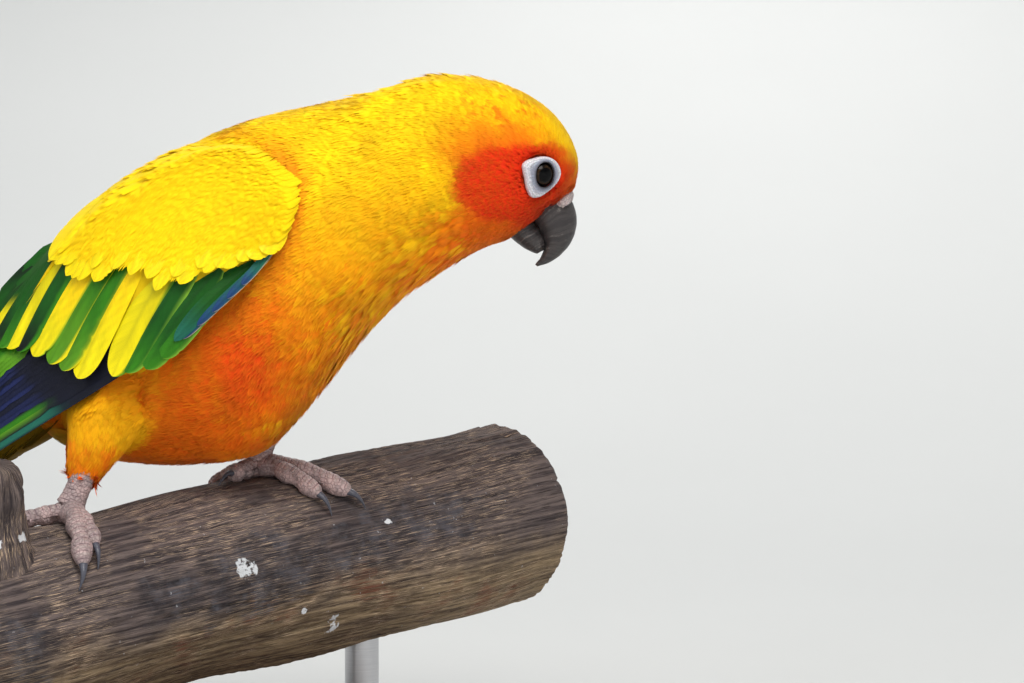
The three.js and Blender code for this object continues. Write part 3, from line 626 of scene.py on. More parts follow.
def body_colour(points):
    colour = np.tile(YELLOW, (len(points), 1))
    mirrored = points * [1, 0, 1] + np.abs(points) * [0, 1, 0]
    mottle = ripple(mirrored, 9, 3) * 0.5 + ripple(mirrored, 3.5, 4) * 0.5
    for middle, half, shade, soft, strength in MARKINGS:
        far = np.linalg.norm((mirrored - middle) / half, axis=1) + 0.16 * mottle * soft
        colour = tint(colour, shade, strength * ease(far, 1 + soft / 2, 1 - soft / 2))
    # Painted shade: a tangerine band on the body just outside the folded wing's edge, in the crease where the
    # wing stands over the breast; it is weaker high on the back.
    wing_crease_shade = ease(wing_gap(points), 8, 0.5) * (1 - 0.6 * ease(points[:, 2], 84, 96))
    colour = tint(colour, TANGERINE, 0.8 * wing_crease_shade)
    for name in THIGHS:
        down, off = thigh_place(points, name)
        thigh = ease(off, 1.5, 1.1) * ease(down, 0.2, 0.45)
        colour = tint(colour, tint(GOLD * 0.95, ORANGE, ease(down + 0.12 * mottle, 0.55, 1.0)), thigh)
    lobes = ripple(mirrored, 15, 5) * 0.07 + ripple(mirrored, 6, 6) * 0.04
    return colour * (1 + lobes)[:, None]


def streaked(colour, points, throat):
    """Some feathers of the crown are orange, and those of the throat are yellow and orange by turns."""
    crown = ease(np.linalg.norm((np.abs(points) - [59, 9, 100]) / [13, 12, 8], axis=1), 1.2, 0.5)
    chance = ripple(points * [0.7, 1, 1.6], 3.2, 71) + rng.normal(0, 0.4, len(points))
    colour = tint(colour, TANGERINE, 0.75 * crown * ease(chance, 0.3, 0.9))
    colour = tint(colour, WING_YELLOW, 0.42 * throat * ease(chance, 0.4, 0.9))
    return tint(colour, ORANGE, 0.5 * throat * ease(chance, -0.3, -0.8))


print(len(MARKINGS), "markings")

# %% [markdown]
# One skin takes the place of the flesh: torso, neck, head and both thighs. Copies of those solids are
# swollen until they touch, wrapped in one fine mesh and smoothed, and the result is drawn in by the
# coat's depth, so that feather tips end where the solids' surface is.

# %% Skin
FLESH = ("torso", "neck", "head", "thigh_right", "thigh_left")
SWELL = 0.25 * MM
VOXEL = 1.05 * MM
COAT_BODY, COAT_FACE = 2.3, 1.1
COAT_THIGH = (2.4, 2.0)  # at its top and its foot
SKIN_SHADE = 0.88


def coat_depth(points, at):
    depth = between(COAT_BODY, COAT_FACE, ease(at, 8.5, 12.5))
    for name in THIGHS:
        down, off = thigh_place(points, name)
        on_thigh = ease(off, 1.5, 1.1) * ease(down, 0.3, 0.5)
        depth = between(depth, np.minimum(depth, between(*COAT_THIGH, down)), on_thigh)
    return depth


flesh = bmesh.new()
for name in FLESH:
    part = bmesh.new()
    part.from_mesh(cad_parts[name].data)
    bmesh.ops.remove_doubles(part, verts=part.verts, dist=0.02 * MM)
    part.normal_update()
    for v in part.verts:
        v.co += v.normal * SWELL
    swollen = bpy.data.meshes.new("swollen")
    part.to_mesh(swollen)
    flesh.from_mesh(swollen)
    part.free()
    bpy.data.meshes.remove(swollen)
wrap_mesh = bpy.data.meshes.new("wrap")
flesh.to_mesh(wrap_mesh)
flesh.free()
wrap = bpy.data.objects.new("wrap", wrap_mesh)
bpy.context.scene.collection.objects.link(wrap)
remesh = wrap.modifiers.new("wrap", "REMESH")
remesh.mode, remesh.voxel_size = "VOXEL", VOXEL
smooth = wrap.modifiers.new("smooth", "SMOOTH")
smooth.factor, smooth.iterations = 0.5, 6
skin_mesh = bpy.data.meshes.new_from_object(wrap.evaluated_get(bpy.context.evaluated_depsgraph_get()))
bpy.data.objects.remove(wrap)


def mesh_arrays(mesh):
    points = np.zeros(len(mesh.vertices) * 3)
    mesh.vertices.foreach_get("co", points)
    normals = np.zeros(len(mesh.vertices) * 3)
    mesh.vertex_normals.foreach_get("vector", normals)
    return from_row(points.reshape(-1, 3)), normals.reshape(-1, 3)


skin_points, skin_normals = mesh_arrays(skin_mesh)
skin_at, _ = body_place(skin_points)
skin_points -= skin_normals * coat_depth(skin_points, skin_at)[:, None]
skin_mesh.vertices.foreach_set("co", to_row(skin_points).ravel())
skin_mesh.update()
add_plume(skin_mesh, body_colour(skin_points) * SKIN_SHADE)
skin_mesh.polygons.foreach_set("use_smooth", np.ones(len(skin_mesh.polygons), bool))
skin = piece("skin", skin_mesh, coat_feathers)
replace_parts(skin, *FLESH)
skin_mesh.uv_layers.new(name="OFBake")
bpy.context.view_layer.objects.active = skin
bpy.ops.object.mode_set(mode="EDIT")
bpy.ops.mesh.select_all(action="SELECT")
bpy.ops.uv.smart_project(angle_limit=math.radians(75), island_margin=0.004)
bpy.ops.object.mode_set(mode="OBJECT")
print("skin of", len(skin_mesh.polygons), "faces")

# %% [markdown]
# A small feather is a cupped vane whose tip parts into five points, twenty-one triangles in all. Tens of
# thousands of them are rooted evenly over the skin, smallest and closest on the face. Each one lies
# back along the body, follows its curve and overlaps the next, and carries the colour at its root.

# %% One tuft
ACROSS = np.linspace(-1, 1, 6)
TUFT_ROWS = ((0.42, 0.92), (0.74, 0.86))
TIP_REACH = np.array([0.84, 0.94, 1.0, 0.94, 0.84])
tuft_along = np.concatenate([[0, 0], *[np.full(6, s) for s, _ in TUFT_ROWS], TIP_REACH])
TIP_ACROSS = (ACROSS[1:] + ACROSS[:-1]) * 0.34
tuft_across = np.concatenate([[-0.3, 0.3], *[ACROSS * w for _, w in TUFT_ROWS], TIP_ACROSS])
tuft_faces = np.array(
    [(0, 2 + k, 3 + k) for k in (0, 1)] + [(0, 4, 1), (1, 4, 5)] + [(1, 5 + k, 6 + k) for k in (0, 1)]
    + [t for k in range(5) for t in ((2 + k, 8 + k, 9 + k), (2 + k, 9 + k, 3 + k))]
    + [(8 + k, 14 + k, 9 + k) for k in range(5)])[:, ::-1]
is_tip = tuft_along > 0.8
PATCH = (0.0012, 0.0028)  # a tuft's half width and its length on the unwrap

skin_mesh.calc_loop_triangles()
corner = np.zeros(len(skin_mesh.loop_triangles) * 3, np.int32)
skin_mesh.loop_triangles.foreach_get("vertices", corner)
corner_loop = np.zeros_like(corner)
skin_mesh.loop_triangles.foreach_get("loops", corner_loop)
skin_uv = np.zeros(len(skin_mesh.loops) * 2)
skin_mesh.uv_layers["OFBake"].data.foreach_get("uv", skin_uv)
skin_triangles, triangle_uv = corner.reshape(-1, 3), skin_uv.reshape(-1, 2)[corner_loop.reshape(-1, 3)]
_, skin_normals = mesh_arrays(skin_mesh)
skin_tree = BVHTree.FromPolygons([Vector(p) for p in skin_points], skin_triangles.tolist())


def nearest(points):
    """The nearest points of the skin."""
    return np.array([skin_tree.find_nearest(Vector(p))[0] for p in points])


def scatter(density):
    """Roots spread evenly over the skin's triangles: points, normals and places on its unwrap."""
    a, b, c = (skin_points[skin_triangles[:, k]] for k in range(3))
    area = np.linalg.norm(np.cross(b - a, c - a), axis=1) / 2
    wanted = area * density((a + b + c) / 3)
    number = np.floor(wanted + rng.uniform(size=len(wanted))).astype(int)
    which = np.repeat(np.arange(len(area)), number)
    r1, r2 = np.sqrt(rng.uniform(size=len(which))), rng.uniform(size=len(which))
    weights = np.stack([1 - r1, r1 * (1 - r2), r1 * r2], 1)
    weigh = lambda values: (values * weights[..., None]).sum(1)
    return (weigh(skin_points[skin_triangles[which]]), unit(weigh(skin_normals[skin_triangles[which]])),
            weigh(triangle_uv[which]))


print(len(tuft_faces), "triangles to a tuft")

# %% Where the eyes are
def box_middle(node):
    low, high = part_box(node)
    return from_row((np.array(low) + np.array(high)) / 2)


EYES = {}
for side in ("right", "left"):
    ball = box_middle(f"eye_{side}")
    EYES[side] = (ball, unit(box_middle(f"eye_ring_{side}") - ball))
EYE_RADIUS = 4.3
RING_RADIUS = 5.6
RING_REACH = ((0, 5.9), (40, 5.4), (85, 4.9), (120, 5.3), (142, 6.5), (154, 6.9), (168, 6.2), (190, 5.6),
              (220, 6.2), (240, 7.0), (256, 6.6), (282, 5.4), (315, 5.1), (360, 5.9))


def eye_axes(out):
    """Two directions square to the eye's axis: forward and up on the face."""
    forward = unit(np.array([1.0, 0, 0]) - out * out[0])
    return forward, np.cross(out, forward) * (1 if np.cross(out, forward)[2] > 0 else -1)


def ring_reach(turn):
    """How far the bare ring reaches from the eye's axis; it is drawn out to soft corners."""
    return profile(RING_REACH, np.degrees(np.mod(turn, 2 * math.pi)))


print("eyes at", EYES["right"][0].round(1))

# %% [markdown]
# Laying a coat takes the same few facts for every tuft, wherever it roots: its root, the way the
# surface faces there, two more places further along the surface that bend it, its length and width,
# how high its tip stands, and its colour. One function turns such a list into a mesh.

# %% Tufts to a mesh
def tuft_piece(name, t):
    """A coat piece from a dictionary of arrays, one row for each tuft."""
    root, middle, tip, normal, long = (t[key] for key in ("root", "middle", "tip", "normal", "long"))
    number = len(root)
    s = np.where(is_tip, tuft_along + rng.uniform(-0.10, 0.05, (number, len(tuft_along))), tuft_along)
    a = tuft_across + np.where(is_tip, rng.uniform(-0.16, 0.16, s.shape), 0)
    s3 = s[..., None]
    spine = (root[:, None] * ((1 - s3) * (1 - 2 * s3)) + middle[:, None] * (4 * s3 * (1 - s3))
             + tip[:, None] * (s3 * (2 * s3 - 1)))
    ahead = unit((tip - root)[:, None] + (root + tip - 2 * middle)[:, None] * (4 * s3 - 2))
    tip_normal = unit(normal - ahead[:, -1] * (normal * ahead[:, -1]).sum(1, keepdims=True))
    up = unit(normal[:, None] + (tip_normal - normal)[:, None] * s3)
    aside = unit(np.cross(up, ahead))
    half = (0.5 * t["wide"])[:, None]
    height = -0.15 + (t["top"][:, None] + 0.15) * np.clip(s, 0, 1.1) ** 0.75 - 0.2 * half * a**2
    points = spine + aside * (a * half)[..., None] + up * height[..., None]
    warm = tint(t["plume"], t["plume"] * [1.0, 0.72, 0.9], t["warmth"] * rng.uniform(size=number))
    warm = warm * rng.uniform(0.95, 1.04, (number, 1))
    # Painted shade: each tuft is darker toward its root, where the tufts overlap; dark sets how dark it is at
    # the root. The tip turns a little paler, its own colour.
    shade = warm[:, None] * between(t["dark"], 1.0, ease(s, 0.05, 0.7))[..., None]
    pale = tint(warm, PALE, 0.3)
    shade = shade + (pale[:, None] - shade) * (ease(s, 0.72, 1.0) * 0.35)[..., None]
    own = np.broadcast_to(rng.uniform(0, 50, (number, 1)), s.shape)
    vane = np.stack([a * half, s * long[:, None], own], -1)
    patch = np.stack([a * PATCH[0], (s - 0.5) * PATCH[1]], -1) + t["uv"][:, None]
    faces = tuft_faces + (np.arange(number) * len(tuft_along))[:, None, None]
    return mesh_piece(name, points.reshape(-1, 3), [faces.reshape(-1, 3)], coat_feathers,
                      shade.reshape(-1, 3), vane.reshape(-1, 3), patch.reshape(-1, 2))


def chosen_tufts(t, chosen):
    return {key: value[chosen] if np.ndim(value) else value for key, value in t.items()}


# %% Lay the coat
def off_eye(points):
    """How far points are from the nearer eye's bare ring, and the way from it, on that eye's side."""
    far, away = np.full(len(points), 99.0), np.zeros_like(points)
    for ball, out in EYES.values():
        forward, up = eye_axes(out)
        gap = points - ball
        flat = gap - out * (gap @ out)[:, None]
        reach = np.linalg.norm(flat, axis=1) - ring_reach(np.arctan2(flat @ up, flat @ forward))
        reach = np.where((gap @ out > 0) & (np.linalg.norm(gap, axis=1) < 20), reach, 99)
        away = np.where((reach < far)[:, None], flat, away)
        far = np.minimum(far, reach)
    return far, away


def coat_density(points):
    at, share = body_place(points)
    density = between(1.25, 4.6, ease(at, 7.5, 12.0))
    density = np.maximum(density, 2.6 * ease(at, 4.0, 6.0) * ease(at, 11.0, 9.5) * ease(share, 0.5, 0.75))
    for name in THIGHS:
        down, off = thigh_place(points, name)
        density = np.maximum(density, 2.4 * ease(off, 1.5, 1.1) * ease(down, 0.1, 0.5))
    return np.where(under_wing(points, 5) | (off_eye(points)[0] < -0.4), 0, density)


roots, root_normals, root_uv = scatter(coat_density)
root_at, root_share = body_place(roots)
lie = backward(root_at, root_share)
leg, leg_down = np.zeros(len(roots)), np.zeros(len(roots))
for name, (top, bottom) in THIGHS.items():
    down, off = thigh_place(roots, name)
    this = ease(off, 1.5, 1.1) * ease(down, 0.05, 0.4)
    lie = unit(tint(lie, unit(np.array(bottom, float) - top) + np.array([-0.1, 0, 0]), this))
    leg_down = np.where(this > leg, down, leg_down)
    leg = np.maximum(leg, this)
head = ease(root_at, 8.2, 11.0)
wander = ripple(roots, 16, 11) * between(0.22, 0.1, head) + rng.normal(0, 0.06, len(roots))
lie = lie + np.cross(root_normals, lie) * wander[:, None]
lie -= root_normals * (lie * root_normals).sum(1, keepdims=True)
size = between(11.5, 3.6, ease(root_at, 6.5, 12.8))
size = between(size, between(11, 9, leg_down), leg) * rng.uniform(0.85, 1.15, len(roots))
eye_far, eye_away = off_eye(roots)
eye_away = unit(eye_away)
inward = (unit(lie) * eye_away).sum(1)
keep_off = np.minimum(inward - 0.12, 0) * ease(eye_far, 5, 0.6)
lie = unit(lie - eye_away * keep_off[:, None])
tucked = np.maximum(ease(wing_gap(roots), 9, 2), under_wing(roots, -1)) * ease(wing_chart(roots)[1], 24, 15)
fringe = leg * ease(leg_down, 0.62, 0.9)
size *= between(1, 0.55, ease(eye_far, 3, 0)) * between(1, 0.7, tucked)
even, uneven = rng.uniform(0.9, 1.03, len(roots)), rng.uniform(0.75, 1.08, len(roots))
level = between(even, uneven, np.maximum(0.3 * head, leg))
nape = ease(root_at, 6.0, 7.2) * ease(root_at, 11.5, 10.5) * ease(root_share, 0.25, 0.05)
throat = ease(root_at, 4.5, 6.0) * ease(root_at, 10.5, 9.5) * ease(root_share, 0.6, 0.85) * (1 - leg)
loose = 0.9 * (rng.uniform(size=len(roots)) < 0.025) * nape + (rng.uniform(size=len(roots)) < 0.14) * throat
size *= (1 + 0.4 * loose) * (1 + 0.2 * throat) * (1 - fringe * rng.uniform(-0.1, 0.45, len(roots)))
ahead, halfway = roots + lie * size[:, None], roots + lie * size[:, None] * 0.5
free = (0.55 * fringe * rng.uniform(0.3, 1, len(roots)))[:, None]
tips = between(nearest(ahead), ahead, free)
coat = {
    "root": roots, "normal": root_normals, "uv": root_uv, "long": size,
    "wide": size * between(between(between(0.44, 0.17, throat), 0.34, head), 0.26 - 0.1 * fringe, leg),
    "middle": between(nearest(halfway), halfway, free), "tip": tips,
    "top": coat_depth(roots, root_at) * (level + 0.35 * loose + rng.uniform(0, 0.25, len(roots)) * fringe)
    * between(1, 0.45, tucked) * between(0.85, 1, ease(eye_far, 0, 2.5)),
    "plume": streaked(body_colour(0.35 * roots + 0.65 * tips), roots, throat), "warmth": 0.2, "dark": 0.93,
}
print(len(roots), "tufts,", len(roots) * len(tuft_faces), "triangles")

on_leg = leg > 0.5
HALVES = (("right", roots[:, 1] < 0), ("left", roots[:, 1] >= 0))
REGIONS = (("face", 12.0, 15, "plumage_orange"), ("cheek", 10.4, 12.0, "plumage_orange"),
           ("crown", 8.7, 10.4, "plumage_yellow"), ("neck", 6.6, 8.7, "plumage_yellow"),
           ("breast", 3.2, 6.6, "plumage_orange"), ("rump", 0, 3.2, "plumage_yellow"))
for part, low, high, slot in REGIONS:
    for name, this_side in HALVES:
        chosen = (root_at >= low) & (root_at < high) & ~on_leg & this_side
        tuft_piece(f"coat_{part}_{name}", chosen_tufts(coat, chosen))
        print("coat", part, name, int(chosen.sum()), "tufts")
for name, this_side in HALVES:
    tuft_piece(f"coat_thigh_{name}", chosen_tufts(coat, on_leg & this_side))

# %% [markdown]
# A long feather is a grid bent over a chart. Its outline widens from a narrow root and rounds off at
# the tip, a shaft runs down its middle, and its far edge dips under the next feather. A few small
# splits part its barbs. The wing's tiers, from the smallest over the bend to the flight feathers
# beneath, are drawn by the same function with their own tips, lengths and colours.

# %% One long feather
VANE_GRID = grid(34, 10)
FLIGHT_OUTLINE = ((0, 0.35), (0.12, 0.75), (0.3, 0.92), (0.62, 1), (0.84, 0.86), (0.94, 0.6), (0.985, 0.28),
                  (1, 0.04))
MEDIAN_OUTLINE = ((0, 0.4), (0.2, 0.8), (0.5, 1), (0.74, 0.92), (0.88, 0.68), (0.96, 0.38), (1, 0.06))
COVERT_OUTLINE = ((0, 0.4), (0.2, 0.8), (0.55, 1), (0.82, 0.9), (0.93, 0.66), (0.985, 0.32), (1, 0.05))


def long_feather(layer, chart, outline, root, tip, width, lift, paint, tilt, bow, patch, splits=3):
    """Lays one feather from root to tip on a chart; paint gives colours for across and along."""
    (t, c), faces = VANE_GRID[0].T, VANE_GRID[1]
    s = 1 - (1 - t) ** 1.35
    a = 2 * c - 1
    root, tip = np.array(root, float), np.array(tip, float)
    run = np.linalg.norm(tip - root)
    way = (tip - root) / run
    half = width / 2 * profile(outline, s)
    for split in rng.uniform(0.35, 0.93, splits):
        edge = rng.choice((-1, 1))
        half = half * (1 - 0.13 * np.exp(-((s - split) / 0.012) ** 2) * (a * edge > 0.55))
    sag = bow * np.sin(math.pi * s) * run
    u = root[0] + way[0] * run * s - way[1] * (a * half + sag)
    v = root[1] + way[1] * run * s + way[0] * (a * half + sag)
    shaft = 0.16 * np.exp(-(a * half / 0.28) ** 2) * (1 - 0.6 * s)
    height = lift(s, u) - math.tan(tilt) * a * half - 0.035 * (a * half) ** 2 / max(width / 8, 0.5) + shaft
    points = chart(u, v, height)
    colour = np.clip(paint(a, s), 0, 1)
    rib = np.exp(-(a * half / 0.3) ** 2)
    colour = tint(colour, colour * 0.55, 0.5 * rib * (1 - 0.5 * s))
    vane = np.stack([a * half, s * run, np.full(len(s), rng.uniform(0, 50))], 1)
    index, count = patch
    uv = np.stack([(index + 0.5 + 0.44 * a) / count, 0.02 + 0.96 * s], 1)
    layer.add(points, [faces], colour, vane, uv)


NAVY = srgb(9, 12, 30)
COAL = srgb(6, 7, 10)
LEAF = srgb(46, 116, 12)
GRASS = srgb(84, 140, 22)
MEADOW = srgb(128, 176, 50)
BOTTLE = srgb(16, 78, 14)
TEAL = srgb(26, 96, 80)
BLUE = srgb(26, 60, 108)
INDIGO = srgb(22, 32, 78)
TAN = srgb(196, 176, 140)
LEMON = srgb(232, 214, 8)


def speckled(colour, a, s, seed, amount=0.1):
    """The colour with soft streaks along the barbs."""
    field = np.stack([a * 3, s * 14 - np.abs(a) * 4, np.full(len(a), seed * 7.3)], 1)
    return colour * (1 + amount * ripple(field, 2.2, 5))[:, None]


def two_tone(low, high, start, end, seed=0, edge=None, edge_width=0.3):
    """Low at the root, high at the tip; an edge colour on the outer web where one is given."""
    def paint(a, s):
        ragged = s + 0.03 * ripple(np.stack([a * 4, s, a], 1), 1.6, seed)
        colour = tint(np.tile(low, (len(a), 1)), high, ease(ragged, start, end))
        if edge is not None:
            colour = tint(colour, edge, ease(-a, 1 - edge_width - 0.12, 1 - edge_width + 0.12))
        return speckled(colour, a, s, seed)
    return paint


print("long feathers of", len(VANE_GRID[1]), "faces")

# %% The wing's body under its feathers
def weld(made, close=False, facing=None):
    """Joins a rolled-up grid's edges, closes its open ends or turns an open sheet to face one way."""
    shell = bmesh.new()
    shell.from_mesh(made.data)
    bmesh.ops.remove_doubles(shell, verts=shell.verts, dist=0.005 * MM)
    if close:
        bmesh.ops.holes_fill(shell, edges=[e for e in shell.edges if e.is_boundary], sides=0)
    bmesh.ops.recalc_face_normals(shell, faces=shell.faces)
    if facing is not None and sum(f.normal.dot(Vector(facing)) * f.calc_area() for f in shell.faces) < 0:
        bmesh.ops.reverse_faces(shell, faces=shell.faces)
    for face in shell.faces:
        face.smooth = True
    shell.to_mesh(made.data)
    shell.free()
    return made


def tube(name, rows, cols, place, material, paint=None, replaces=()):
    """A closed skin rolled from a grid: place(along, round) gives points and a mark for each."""
    flat, faces = grid(rows, cols)
    points, mark = place(flat[:, 0], flat[:, 1])
    plume = None if paint is None else paint(points)
    made = weld(mesh_piece(name, points, [faces], material, plume, mark), True)
    if replaces:
        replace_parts(made, *replaces)


def no_mark(count):
    return np.zeros((count, 3))


def wing_core(side):
    def place(s, c):
        top = c < 0.5
        across = np.where(top, 2 * c, 2 - 2 * c)
        u = between(0, between(62, 92, across), s)
        v = between(profile(WING_LOWER, u) + 1.5, profile(WING_UPPER, u) - 1.5, across)
        round_off = (np.sqrt(np.maximum(1 - (2 * across - 1) ** 2, 0))
                     * np.sqrt(np.maximum(1 - (1 - 2 * s) ** 8, 0)))
        lift = np.where(top, -2.6 + 1.4 * round_off, -2.6 - 2.6 * round_off)
        return wing_point(u, v, lift, side), no_mark(len(s))
    return place


def stops(points, share):
    """A place on the chart, from (share, u, v) stops."""
    return [float(profile([(p[0], p[k]) for p in points], share)) for k in (1, 2)]


FLIGHT = 17
FLIGHT_TILT = math.radians(11)


def flight_root(i):
    share = i / (FLIGHT - 1)
    u = between(64, 97, share) - 12
    return u, between(-11.5, float(profile(WING_UPPER, u)) - 5, share) - 1.4 * (i == 0)


def flight_tip(i):
    if i == 0:
        return 146, -3.0
    u = between(151.5, 109, ((i - 1) / (FLIGHT - 2)) ** 0.75)
    return u, float(profile(WING_UPPER, u)) - 1.6


def flight_height(i):
    """Each feather lies over the one below it, more so where they draw together."""
    def lift(s, u):
        rise = np.zeros_like(u)
        for k in range(i):
            ends = [(flight_root(n), flight_tip(n)) for n in (k, k + 1)]
            line = [r[1] + (t[1] - r[1]) * (u - r[0]) / (t[0] - r[0]) for r, t in ends]
            rise += np.maximum(0.42 - (line[1] - line[0]) * math.tan(FLIGHT_TILT), 0.04)
        return -2.3 + rise * ease(s, 0, 0.5)
    return lift


def flight_paint(i):
    """Navy-black, with green or teal outer webs where the lowest feathers come clear of the coverts."""
    if i >= FLIGHT - 4:
        return two_tone(LEAF, COAL, 0.5, 0.95, i, GRASS, 0.28)
    base = two_tone(NAVY, COAL, 0.75, 1.0, i)
    lowest = {0: (TEAL, 0.1, 0.9), 1: (GRASS, 0.3, 0.8), 2: (LEAF, 0.75, 2)}
    edge, inner, outer = lowest.get(i, (INDIGO, 0.7, 2))
    strength = 1 if i < 3 else 0.5 + 0.5 * math.sin(2.3 * i)

    def paint(a, s):
        web = ease(-a, inner - 0.1, inner + 0.06) * ease(-a, outer + 0.06, outer - 0.06)
        return tint(base(a, s), edge, strength * web * ease(s, 0.36, 0.44) * ease(s, 0.98, 0.9))
    return paint


# Tips are stops of share, u and v along each tier; falls are how far v drops for each step of u.
MEDIANS = 21
GREATER_TIPS = ((0, 50.5, -15.0), (0.071, 56, -16.6), (0.143, 61.4, -16.4), (0.214, 66.2, -14.2),
                (0.286, 69.9, -12.8), (0.357, 78.2, -7.6), (0.429, 80.6, -3.2), (0.5, 82.6, 0.4),
                (0.571, 85.3, 4.7), (0.643, 88.5, 8.6), (0.8, 93, 13), (1, 101, 17))
MEDIAN_TIPS = ((0, 17.5, -10.3), (0.12, 26, -8.2), (0.25, 33.5, -5.6), (0.42, 44.8, -2.4), (0.5, 46.8, 2),
               (0.62, 56, 9.6), (0.74, 60, 14), (0.85, 63, 17), (1, 66, 23))
MEDIAN_FALL = ((0, 0.25), (0.12, 0.3), (0.25, 0.38), (0.42, 0.5), (0.62, 0.55), (0.85, 0.42), (1, 0.3))
GREATER_FALL = ((0, 0.13), (0.071, 0.2), (0.143, 0.3), (0.214, 0.4), (0.286, 0.48), (0.357, 0.5), (0.5, 0.4),
                (0.65, 0.45), (0.8, 0.4), (1, 0.25))
GREATER_PAINT = (
    two_tone(BOTTLE, TEAL, 0.5, 1.0, 1, TEAL, 0.35), two_tone(BOTTLE, LEAF, 0.5, 1.0, 2, MEADOW, 0.16),
    two_tone(BOTTLE, LEAF, 0.6, 1.0, 3, MEADOW, 0.16), two_tone(BOTTLE, LEAF, 0.5, 1.0, 4, MEADOW, 0.18),
    two_tone(LEMON * 0.8, LEMON, 0, 1, 5, LEAF, 0.25), two_tone(YELLOW, LEMON, 0.2, 0.8, 6),
    two_tone(LEAF, GRASS, 0.5, 1.0, 7, LEMON, 0.14), two_tone(LEAF, GRASS, 0.3, 0.8, 8, LEMON, 0.3),
    two_tone(YELLOW, LEMON, 0.4, 0.8, 9, GRASS, 0.12), two_tone(BOTTLE, COAL, 0.6, 1.0, 10, LEAF, 0.3),
    two_tone(LEMON * 0.8, LEMON, 0.4, 0.9, 11), two_tone(BOTTLE, LEAF, 0.6, 1.0, 12, GRASS, 0.3),
    two_tone(BOTTLE, COAL, 0.6, 1.0, 13, GRASS, 0.35), two_tone(BOTTLE, LEMON, 0.5, 0.72, 14),
    two_tone(COAL, BOTTLE, 0.2, 0.7, 15, GRASS, 0.3),
)


def straight(low, high):
    """A feather's height over the chart, rising evenly from root to tip."""
    return lambda s, u: between(low, high, s)


def wing(name, side):
    """One folded wing: its body, then the tiers from the flight feathers up to the small coverts."""
    # The wing's body is a darker yellow, painted shade where it shows between the feathers, and coal-black
    # toward the tip under the flight feathers.
    tube(f"wing_core_{name}", 40, 48, wing_core(side), coat_feathers,
         lambda p: tint(np.tile(YELLOW * 0.7, (len(p), 1)), COAL, ease(wing_chart(p)[0], 50, 66)))
    chart = lambda u, v, lift: wing_point(u, v, lift, side)
    flight = Layer()
    for i in range(FLIGHT):
        long_feather(flight, chart, FLIGHT_OUTLINE, flight_root(i), flight_tip(i), 7.4 if i == 0 else 9.0,
                     flight_height(i), flight_paint(i), FLIGHT_TILT, 0.02, (i, FLIGHT))
    flight.piece(f"wing_flight_{name}", long_feathers, "wing_feathers", (f"wing_{name}",))
    greater = Layer()
    number = len(GREATER_PAINT)
    for i in range(number):
        share = i / (number - 1)
        tip = stops(GREATER_TIPS, share)
        long = between(30, 38, min(share * 2, 1))
        fall = float(profile(GREATER_FALL, share))
        root = tip[0] - long, tip[1] + fall * long
        outline = FLIGHT_OUTLINE if i < 4 else COVERT_OUTLINE
        width = (4.4, 7.6)[i] if i < 2 else 9.2
        long_feather(greater, chart, outline, root, tip, width, straight(-1.7, 1.0 + 0.02 * i),
                     GREATER_PAINT[i], math.radians(6), 0.03, (i, number))
    for i in range(5):
        tip = between(27, 48.5, i / 4), between(-13.9, -15.9, i / 4)
        root = max(tip[0] - 20, 15), tip[1] + 2.6
        long_feather(greater, chart, FLIGHT_OUTLINE, root, tip, 2.5, straight(-0.9, 1.0 - 0.12 * i),
                     two_tone(TEAL, BLUE, 0.45, 0.95, i, TAN, 0.12), math.radians(4), 0, (i, 5), 1)
    greater.piece(f"wing_greater_{name}", long_feathers, "wing_feathers")
    median = Layer()
    for i in range(MEDIANS):
        share = i / (MEDIANS - 1)
        tip = stops(MEDIAN_TIPS, share)
        further = rng.uniform(-3.4, 2.0) * min(share * 4, 1)
        fall = float(profile(MEDIAN_FALL, share))
        long = between(9, 22, min(share * 4, 1))
        tip = tip[0] + further, tip[1] - fall * further
        root, width = (tip[0] - long, tip[1] + fall * long), rng.uniform(5.6, 8.4)
        paint = two_tone(WING_YELLOW, tint(WING_YELLOW, LEMON, 0.5), 0.6, 1.0, i)
        long_feather(median, chart, MEDIAN_OUTLINE, root, tip, width, straight(-1.0, 1.4), paint,
                     math.radians(6), 0.02, (i, MEDIANS), 6)
    median.piece(f"wing_median_{name}", long_feathers, "wing_feathers")
    lesser_coverts(name, chart)


LESSER_STEP = 0.78


def chart_tufts(chart, u, v, way, long, wide, low, top, plume, uv, dark=0.82):
    """Tufts rooted at places of a chart and lying along it; low is how deep they root, and dark is how dark
    the painted shade at their roots is.
    """
    root, middle, tip = (chart(u + way[0] * long * k, v + way[1] * long * k, low + 0 * u)
                         for k in (0, 0.5, 1))
    side_step = chart(u, v + 0.4, low + 0 * u) - chart(u, v - 0.4, low + 0 * u)
    normal = unit(np.cross(side_step, middle - root))
    outward = chart(u, v, low + 1 + 0 * u) - root
    normal *= np.sign((normal * outward).sum(1, keepdims=True))
    return {"root": root, "middle": middle, "tip": tip, "normal": normal, "long": long, "wide": wide,
            "top": top, "plume": plume, "uv": uv, "warmth": 0.12, "dark": dark}


def even_places(low, high, step):
    """Jittered places on a flat grid between two corners."""
    lines = [np.arange(start, end, step) for start, end in zip(low, high)]
    u, v = (axis.ravel() for axis in np.meshgrid(*lines))
    return u + rng.uniform(-0.5, 0.5, len(u)) * step, v + rng.uniform(-0.5, 0.5, len(u)) * step


